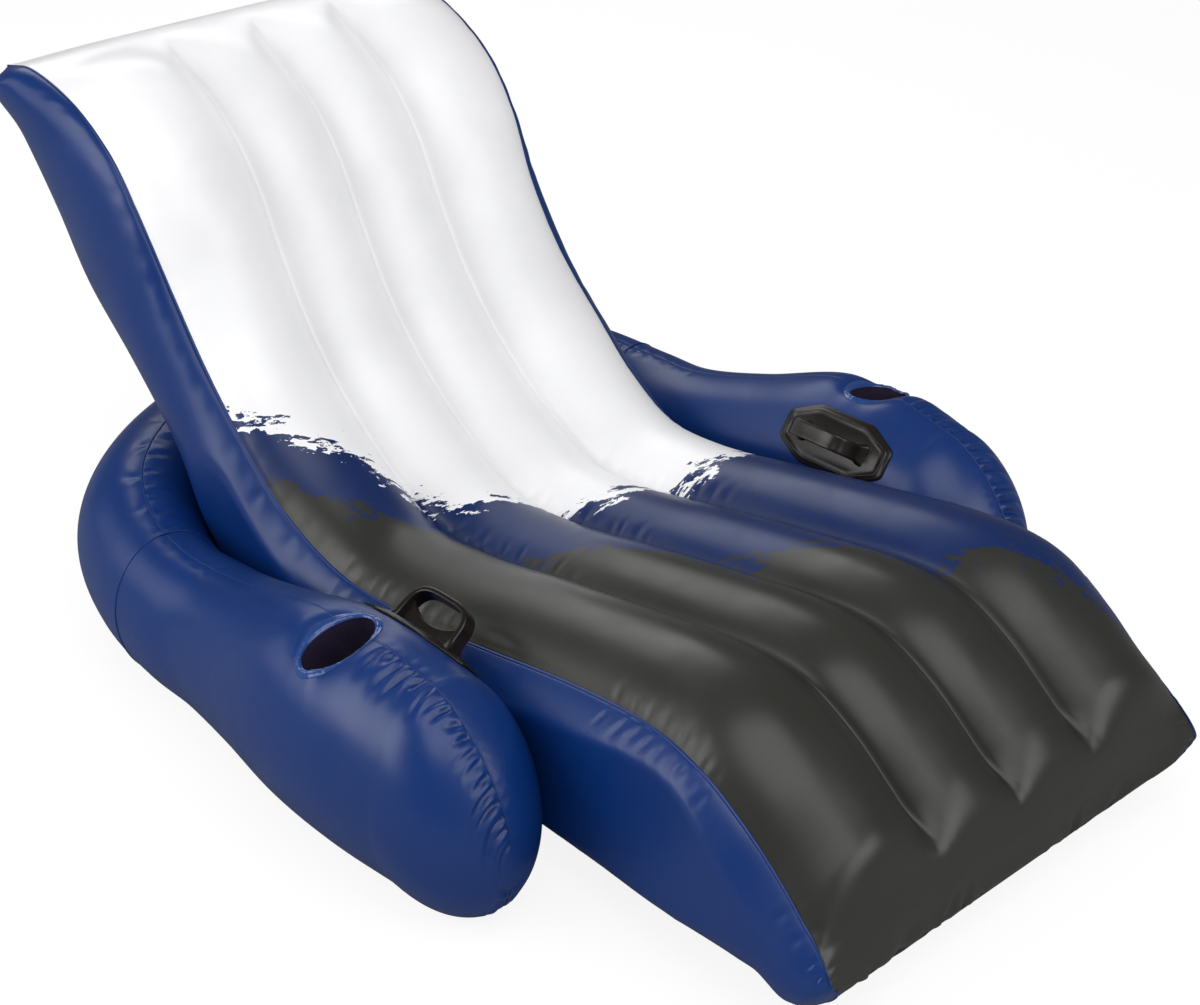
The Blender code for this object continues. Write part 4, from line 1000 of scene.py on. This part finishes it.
def lounge_welds(lounge, bead):
    """Beads along the side welds and the bottom welds, and along the weld behind the head."""
    share = dense_along(lounge, WELD_ROWS)
    side_lines, low_lines = [], []
    for side in (-1, 1):
        edge = np.full(share.shape, 2.0 * side)
        high, low = lounge.top(share, edge), lounge.under(share, edge)
        out = 2 * high - lounge.top(share, edge * 0.985) - lounge.gusset(share, 0.04, side)
        side_lines.append((high, unit(out)))
        low[:, 2] = np.maximum(low[:, 2], LIP_THICKNESS)
        out = np.tile((float(side), 0.0, -0.2), (len(share), 1))
        low_lines.append((low[6:-6], out[6:-6]))
    across = np.linspace(-2.0, 2.0, 160)
    line = lounge.under(np.full(across.shape, 1.0 - HEAD_WRAP_SHARE), across)
    side_lines.append((line, np.tile((0.0, 1.0, 0.0), (len(across), 1))))
    for name, lines in (("side", side_lines), ("low", low_lines)):
        make_beads(f"lounge_{name}_welds", bead, lines, LIP_THICKNESS, LIP_WIDTH)


def tube_angles(count, side):
    """Angles of one film panel, from its bottom weld to its top weld."""
    return side * np.pi * eased(count, 0.4)


def tube_normals(points):
    """Normals of a tube's panel, away from the line through the middle of its welds."""
    middle = (points[:, :1] + points[:, -1:]) / 2
    return grid_normals(points, points - middle)


def girth_away(ring, rows, angles):
    """Distances from the top weld and from the bottom weld round the tube."""
    rows, turned = np.abs(rows), np.abs(angles)
    width, height = ring.read(np.minimum(rows, LAST_ROW))[3:5]
    cap = np.maximum(rows - LAST_ROW, 0.0)
    radius = (width + height) / 4 * np.sqrt(np.maximum(1 - cap * cap, 0.0))
    return np.abs(np.pi - turned) * radius, turned * radius


def arm_relief(ring, rows, angles, seed):
    along, end = ring.seam_at(rows), ring.seam[-1]
    top_away, low_away = girth_away(ring, rows, angles)
    fold = NOSE_FOLD if np.max(angles) > 1.0 else NOSE_INNER_FOLD
    low = np.arange(end * 0.42, end - 0.03, 0.026)
    total = seam_pinch(top_away) + seam_pinch(low_away)
    total += puckers(along, top_away, ((end - NOSE_PUCKERS, 0, *fold), REAR_PUCKERS), seed)
    total += puckers(along, low_away, ((low, 9, 0.0045, 0.0060, 0.045),), seed)
    cap = np.maximum(rows - LAST_ROW, 0.0)
    return total * (1 - smooth_step((cap - 0.95) / 0.05))


def back_relief(ring, rows, angles):
    along = ring.seam_at(np.abs(rows))
    top_away, low_away = girth_away(ring, rows, angles)
    inner = np.min(angles) < -1.0
    depth, pitch = (0.0024, 0.038) if inner else (0.0014, 0.075)
    places = ring.seam_at(MITRE_ROW) - np.abs(np.arange(-0.9, 0.9, pitch))
    total = seam_pinch(top_away) + seam_pinch(low_away)
    total += puckers(along, top_away, ((places, 21, depth, 0.0065, 0.050),), int(inner))
    total += puckers(along, low_away, ((places, 23, depth, 0.0065, 0.045),), int(inner))
    mitre = (MITRE_ROW - np.abs(rows)) * ROW_LENGTH
    return total * smooth_step(mitre / 0.02 + 0.2)


def in_frame(frame, points):
    """Points as a frame's axes give them."""
    return (points - frame[0]) @ frame[1].T


def skin_place(ring, side, frame, x, y, row, angle):
    """Rows and angles of the armrest's skin that lie over flat places of a frame."""
    row, angle = (np.broadcast_to(start, x.shape).copy() for start in (row, angle))
    for _ in range(14):
        here = in_frame(frame, ring.points(row, angle, side))
        by_row = (in_frame(frame, ring.points(row + PROBE, angle, side)) - here) / PROBE
        by_angle = (in_frame(frame, ring.points(row, angle + PROBE, side)) - here) / PROBE
        miss_x, miss_y = x - here[..., 0], y - here[..., 1]
        area = by_row[..., 0] * by_angle[..., 1] - by_angle[..., 0] * by_row[..., 1]
        row += (miss_x * by_angle[..., 1] - miss_y * by_angle[..., 0]) / area
        angle += (miss_y * by_row[..., 0] - miss_x * by_row[..., 1]) / area
    return row, angle


def frame_of(origin, along, normal):
    """Origin and axes, X along the piece and Z out of the surface that it sits on."""
    across = unit(np.cross(normal, along))
    return origin, np.stack([unit(np.cross(across, normal)), across, unit(normal)])


def cup_frame(ring, side):
    row, angle = ring.row_at_y(ring.front + CUP_SETBACK), math.pi - CUP_LEAN
    axis = np.array((side * math.sin(CUP_TILT), 0.0, math.cos(CUP_TILT)))
    return frame_of(ring.points(row, angle, side), np.array((0.0, -1.0, 0.0)), axis), row, angle


def cup_share(frame, points):
    """Where points lie across the cup's mouth: 1 on its edge, less inside."""
    flat = in_frame(frame, points)
    return np.hypot(flat[..., 0] / (CUP_MOUTH_ALONG / 2), flat[..., 1] / (CUP_MOUTH_ACROSS / 2))


class Cup:
    """A cup's mouth: its frame, and how far the film is drawn down towards a flat edge."""

    def __init__(self, ring, side):
        self.ring, self.side = ring, side
        self.frame, *self.start = cup_frame(ring, side)
        self.turns = np.linspace(-np.pi, np.pi, 181)
        height = in_frame(self.frame, self.skin_line(0.0, self.turns)[0])[:, 2]
        level = mix(np.min(height), np.max(height), CUP_LEVEL_SHARE)
        self.pull = np.maximum(height - level, 0.0) + CUP_SAG

    def skin_line(self, spread, turns):
        """Skin points and normals at a distance from the mouth's edge."""
        x = (CUP_MOUTH_ALONG / 2 + spread) * np.cos(turns)
        y = (CUP_MOUTH_ACROSS / 2 + spread) * np.sin(turns)
        row, angle = skin_place(self.ring, self.side, self.frame, x, y, *self.start)
        points = self.ring.points(row, angle, self.side)
        by_row = self.ring.points(row + PROBE, angle, self.side) - points
        by_angle = self.ring.points(row, angle + PROBE, self.side) - points
        return points, facing(unit(np.cross(by_row, by_angle)), self.frame[1][2])

    def drawn(self, points):
        """Points after the film's sag round the mouth, and how much other relief is left there."""
        flat = in_frame(self.frame, points)
        turn = np.arctan2(flat[..., 1] / CUP_MOUTH_ACROSS, flat[..., 0] / CUP_MOUTH_ALONG)
        away = np.maximum(cup_share(self.frame, points) - 1.0, 0.0)
        away *= (CUP_MOUTH_ALONG + CUP_MOUTH_ACROSS) / 4
        near = flat[..., 2] > -CUP_DEPTH / 2
        sag = np.interp(turn, self.turns, self.pull) * np.exp(-(away / CUP_SAG_WIDTH) ** 1.2) * near
        calm = np.where(near, smooth_step(away / CUP_CALM), 1.0)
        return points - self.frame[1][2] * sag[..., None], calm


def make_arms(ring, cups):
    lines = np.concatenate([np.linspace(MITRE_ROW, LAST_ROW, ARM_ROWS), nose_rows(NOSE_ROWS)])
    for (name, side), cup in zip(SIDES, cups):
        for part, turn in (("outer", 1), ("inner", -1)):
            rows, angles = np.meshgrid(lines, tube_angles(ARM_COLUMNS, turn), indexing="ij")
            points = ring.points(rows, angles, side)
            share = cup_share(cup.frame, points)
            edge, keep = cut_hole((share < 1.0) & (np.abs(angles) > np.pi / 2), AROUND)
            flat = in_frame(cup.frame, points[edge]) / share[edge][:, None]
            rows[edge], angles[edge] = skin_place(ring, side, cup.frame, flat[:, 0], flat[:, 1],
                                                  rows[edge], angles[edge])
            points = ring.points(rows, angles, side)
            normals = tube_normals(points)
            points, calm = cup.drawn(points)
            relief = arm_relief(ring, rows, angles, 11 if side < 0 else 12) * calm
            points = points + normals * relief[..., None]
            points[..., 2] = np.maximum(points[..., 2], 0.0)
            points[..., 0] = side * np.maximum(side * points[..., 0], ring.inner_x)
            panel(f"{name}_arm_{part}", points, normals, "navy", [f"{name}_arm_{part}_panel"],
                  keep=keep)


def fill_middle(grid):
    """A grid with rows added between its two middle rows."""
    middle = len(grid) // 2
    step = np.linspace(0.0, 1.0, 9)[1:-1].reshape((-1,) + (1,) * (grid.ndim - 1))
    return np.concatenate([grid[:middle], mix(grid[middle - 1], grid[middle], step), grid[middle:]])


def make_back_tube(ring):
    rows = np.linspace(-MITRE_ROW, MITRE_ROW, BACK_ROWS)
    for name, side, across in BACK_PANELS:
        places, angles = np.meshgrid(rows, tube_angles(across, side), indexing="ij")
        halves = [ring.points(np.abs(places), angles, half) for half in (-1, 1)]
        points = np.where((places < 0)[..., None], *halves)
        places, angles, points = (fill_middle(grid) for grid in (places, angles, points))
        normals = tube_normals(points)
        points = points + normals * back_relief(ring, places, angles)[..., None]
        keep = None
        if name == "outer":
            points, keep = seat_film(points, "ring_valve_flange", (0.0, 1.0, 0.5))
        points[..., 2] = np.maximum(points[..., 2], 0.0)
        panel(f"back_tube_{name}", points, normals, "navy", [f"back_tube_{name}_panel"],
              keep=keep)


def ring_welds(ring, bead, cups):
    """Beads along the ring's top and bottom welds, clear of the cups, and round its mitre welds."""
    lines = []
    rows = np.concatenate([np.linspace(0.0, LAST_ROW, 500), nose_rows(90)[:-3]])
    for (_, side), cup in zip(SIDES, cups):
        for angle in (math.pi, 0.0):
            line = ring.points(rows, angle, side)
            out = unit(line - ring.points(rows, math.pi - angle, side))
            clear = (cup_share(cup.frame, line) > CUP_CLEAR_SHARE) | (angle == 0.0)
            line, calm = cup.drawn(line) if angle else (line, 1.0)
            line = line - out * (SEAM_PINCH * np.reshape(calm, (-1, 1)) - BEAD_SINK)
            line[:, 2] = np.maximum(line[:, 2], BEAD_SIZE)
            ends = np.flatnonzero(np.diff(np.concatenate([[0], clear.astype(int), [0]])))
            lines += [(line[first:last], out[first:last]) for first, last in ends.reshape(-1, 2)]
        line = ring.points(MITRE_ROW, np.linspace(0.05, 2 * np.pi - 0.05, 160), side)
        out = unit(line - np.mean(line, axis=0))
        line = line - out * BEAD_SINK
        line[:, 2] = np.maximum(line[:, 2], BEAD_SIZE)
        lines.append((line, out))
    make_beads("ring_welds", bead, lines, BEAD_SIZE * 1.3, BEAD_SIZE)


def make_cups(cups):
    """Black wells with rounded floors, and the welded flange round each mouth, whose lighter blue
    is a painted highlight.
    """
    angles = np.linspace(0.0, 2 * np.pi, 145)[:-1]
    ripple = 1.0 + 0.16 * np.sin(angles * 31) * np.sin(angles * 7 + 1.0)
    for (name, _), cup in zip(SIDES, cups):
        rows = []
        for spread, rise in RIM_PROFILE:
            points, normals = cup.skin_line(spread, angles)
            rows.append(cup.drawn(points)[0] + normals * (rise * ripple)[:, None])
        rim = np.stack(rows)
        # The flange takes the rim look: its lighter blue is a painted highlight along the rim.
        panel(f"{name}_cup_flange", rim, rim - np.mean(rim, axis=0), "rim", [f"{name}_cup_rim"],
              gauge=0.0, wrap=True)

        top = in_frame(cup.frame, cup.drawn(cup.skin_line(0.0, angles)[0])[0])
        rows = [top + np.array((0.0, 0.0, CUP_COLLAR))]
        for depth in np.linspace(0.0, 1.0, 46)[1:]:
            sunk = smooth_step((depth * CUP_DEPTH - CUP_THROAT) / (CUP_DEPTH - CUP_THROAT))
            wave = 1.0 + 0.012 * np.sin(angles * 9 + 7 * depth) * math.sin(math.pi * depth)
            along = mix(CUP_MOUTH_ALONG, CUP_FLOOR_ALONG, sunk) / 2 * wave
            wide = mix(CUP_MOUTH_ACROSS, CUP_FLOOR_ACROSS, sunk) / 2 * wave
            rows.append(np.stack([along * np.cos(angles), wide * np.sin(angles),
                                  mix(top[:, 2], -CUP_DEPTH, depth)], -1))
        wall = rows[-1]
        for inset in np.linspace(0.0, 1.0, 14)[1:]:
            floor = wall * np.array((1.0 - inset, 1.0 - inset, 1.0))
            floor[:, 2] -= CUP_FLOOR_DROP * math.sin(inset * math.pi / 2)
            rows.append(floor)
        local = np.stack(rows)
        inward = np.array((0.0, 0.0, -CUP_DEPTH / 2)) - local
        moulding(f"{name}_cup_pocket", cup.frame, local, inward, "black", [f"{name}_cup_well"],
                 2 * GAUGE)


def handle_frame(ring, side):
    row, angle = ring.row_at_y(ring.front + HANDLE_SETBACK), 1.5 * math.pi - HANDLE_ANGLE
    origin = ring.points(row, angle, side)
    along = ring.points(row + PROBE, angle, side) - origin
    normal = np.cross(along, origin - ring.points(row, angle - PROBE, side))
    centre = ring.points(row, np.array((0.0, math.pi)), side).mean(axis=0)
    return frame_of(origin, along, facing(normal, origin - centre)), row, angle


def octagon(count):
    """Points round an octagon with rounded corners, on half sizes of the handle's plate."""
    long, wide = HANDLE_LENGTH / 2, HANDLE_WIDTH / 2
    short, narrow = long - HANDLE_CHAMFER[0], wide - HANDLE_CHAMFER[1]
    corners = np.array([(long, -narrow), (long, narrow), (short, wide), (-short, wide),
                        (-long, narrow), (-long, -narrow), (-short, -wide), (short, -wide)])
    closed = np.vstack([corners, corners[:1]])
    lengths = np.concatenate([[0.0], np.cumsum(np.linalg.norm(np.diff(closed, axis=0), axis=1))])
    places = np.linspace(0.0, lengths[-1], count + 1)[:-1]
    window = np.linspace(-CORNER_ROUNDING, CORNER_ROUNDING, 9)
    spread = (places[:, None] + window[None, :]) % lengths[-1]
    corners = [np.interp(spread, lengths, closed[:, axis]).mean(axis=1) for axis in (0, 1)]
    return np.stack(corners, -1)


def make_handles(ring):
    """The moulded base plate on each armrest's inner slope, and the grip that stands on it."""
    outline = octagon(160)
    for name, side in SIDES:
        frame, row, angle = handle_frame(ring, side)
        rows = []
        for inset, rise in PLATE_PROFILE:
            share = 1.0 - inset / np.array((HANDLE_LENGTH / 2, HANDLE_WIDTH / 2))
            place = skin_place(ring, side, frame, *(outline * np.maximum(share, 0.0)).T, row, angle)
            points = in_frame(frame, ring.points(*place, side))
            points[:, 2] += CLEARANCE + rise
            rows.append(points)
        up = np.broadcast_to((0.0, 0.0, 1.0), (len(rows), *rows[0].shape))
        moulding(f"{name}_handle_plate", frame, np.stack(rows), up, "brown",
                 [f"{name}_handle_base"])
        make_grip(name, frame)


def make_grip(name, frame):
    """A band bent over two flared legs, with rolled edges and a web that rounds the opening."""
    turned = np.linspace(0.0, np.pi, 90)[:, None]
    around = np.linspace(0.0, 2 * np.pi, 41)[None, :-1]
    bulge = np.cos(turned)
    x, z = (np.sign(part) * np.abs(part) ** GRIP_CORNER_SHARE for part in (bulge, np.sin(turned)))
    foot = np.exp(-z / 0.10)
    band = GRIP_BAND * (1.0 + 0.9 * foot)
    wide = GRIP_WIDTH * (1.0 + 0.35 * foot)
    half = (GRIP_LENGTH - GRIP_BAND) / 2
    centre = np.concatenate([x * half * (1.0 + 0.06 * foot), np.zeros(x.shape),
                             z * (HANDLE_PLATE + GRIP_HEIGHT - GRIP_BAND / 2)], -1)
    travel = unit(np.gradient(centre, axis=0))
    out = facing(np.stack([travel[:, 2], np.zeros(len(x)), -travel[:, 0]], -1), centre)
    edge = np.abs(np.cos(around)) ** 0.45 * np.sign(np.cos(around))
    thick = np.abs(np.sin(around)) ** 0.60 * np.sign(np.sin(around))
    dish = 1.0 - 0.30 * (1.0 - np.abs(edge) ** 3.0)
    outward = out[:, None, :] * (thick * dish * band / 2)[..., None]
    outward = outward + np.array((0.0, 1.0, 0.0)) * (edge * wide / 2)[..., None]
    moulding(f"{name}_handle_loop", frame, centre[:, None, :] + outward, outward, "brown",
             [f"{name}_handle_grip"])

    x = np.linspace(-half, half, 61)[:, None]
    top = WEB_LOW + (WEB_HIGH - WEB_LOW) * np.abs(x / (GRIP_LENGTH / 2)) ** 2.2 - WEB_THICKNESS / 2
    turned = np.linspace(0.0, 2 * np.pi, 33)[None, :-1]
    rise = np.sin(turned)
    z = np.where(rise > 0.0, top + rise * WEB_THICKNESS / 2, top * (1.0 + rise))
    y = np.cos(turned) * WEB_THICKNESS / 2 * (1.0 + 0.8 * np.exp(-z / 0.006))
    local = np.stack(np.broadcast_arrays(x, y, z), -1)
    outward = local - np.mean(local, axis=1, keepdims=True)
    moulding(f"{name}_handle_web", frame, local, outward, "brown")


def dress_nodes():
    """Gives the solids that stay in view a material of their own kind."""
    for name, node in frame["nodes"].items():
        for ending, look in NODE_LOOKS:
            if name.endswith(ending):
                for slot in node.material_slots:
                    slot.material = LOOKS[look]


def make_camera():
    data = bpy.data.cameras.new("camera")
    data.sensor_width = CAMERA_SENSOR
    data.lens = CAMERA_LENS
    camera = link(bpy.data.objects.new("camera", data))
    camera.location = CAMERA_PLACE
    camera.rotation_euler = CAMERA_TURN
    bpy.context.scene.camera = camera


def make_light():
    scene = bpy.context.scene
    scene.view_settings.view_transform = "Standard"
    world = bpy.data.worlds.new("studio")
    world.use_nodes = True
    background = world.node_tree.nodes["Background"]
    background.inputs["Color"].default_value = (1.0, 1.0, 1.0, 1.0)
    tree = Tree(world.node_tree)
    path = tree.add("ShaderNodeLightPath")
    seen = tree.math("MAXIMUM", path.outputs["Is Camera Ray"], path.outputs["Is Transmission Ray"])
    strength = tree.math("MULTIPLY_ADD", seen, 1.0 - WORLD_LIGHT, WORLD_LIGHT)
    strength = tree.math("MULTIPLY_ADD", path.outputs["Is Glossy Ray"],
                         WORLD_GLOSS - WORLD_LIGHT, strength)
    tree.wire(strength, background.inputs["Strength"])
    scene.world = world
    for name, place, size, power in LAMPS:
        data = bpy.data.lights.new(name, "AREA")
        data.shape = "RECTANGLE"
        data.size, data.size_y = size
        data.energy = power
        lamp = link(bpy.data.objects.new(name, data))
        lamp.location = place
        aim = Vector(LAMP_AIM) - Vector(place)
        lamp.rotation_euler = aim.to_track_quat("-Z", "Y").to_euler()

    mesh = bpy.data.meshes.new("floor")
    half = FLOOR_SIZE / 2
    corners = [(-half, -half, 0), (half, -half, 0), (half, half, 0), (-half, half, 0)]
    mesh.from_pydata(corners, [], [(0, 1, 2, 3)])
    floor = link(bpy.data.objects.new("floor", mesh))
    floor.location.z = -FLOOR_CUT
    material, tree, surface = shader("floor_look")
    path = tree.add("ShaderNodeLightPath")
    shine = tree.math("MULTIPLY", path.outputs["Is Glossy Ray"], FLOOR_GLOSS_SHADE)
    tone = tree.blend(shine, FLOOR_TONE, (0.0, 0.0, 0.0, 1.0))
    tree.wire(tone, surface.inputs["Base Color"])
    surface.inputs["Roughness"].default_value = 0.9
    surface.inputs["Specular IOR Level"].default_value = 0.1
    glow = tree.add("ShaderNodeEmission", inputs={"Color": (1, 1, 1, 1), "Strength": FLOOR_GLOW})
    lit = tree.add("ShaderNodeMixShader")
    seen = tree.math("MULTIPLY", path.outputs["Is Camera Ray"], FLOOR_GLOW_SHARE)
    for socket, value in ((0, seen), (1, surface.outputs[0]), (2, glow.outputs[0])):
        tree.wire(value, lit.inputs[socket])
    tree.wire(lit.outputs[0], tree.tree.nodes["Material Output"].inputs["Surface"])
    mesh.materials.append(material)


def main():
    make_camera()
    make_light()
    make_materials()
    lounge, ring, bead = Lounge(), Ring(), bead_group()
    make_lounge(lounge)
    make_webs(lounge)
    lounge_welds(lounge, bead)
    make_back_tube(ring)
    cups = [Cup(ring, side) for _, side in SIDES]
    make_arms(ring, cups)
    ring_welds(ring, bead, cups)
    make_cups(cups)
    make_handles(ring)
    dress_nodes()


main()
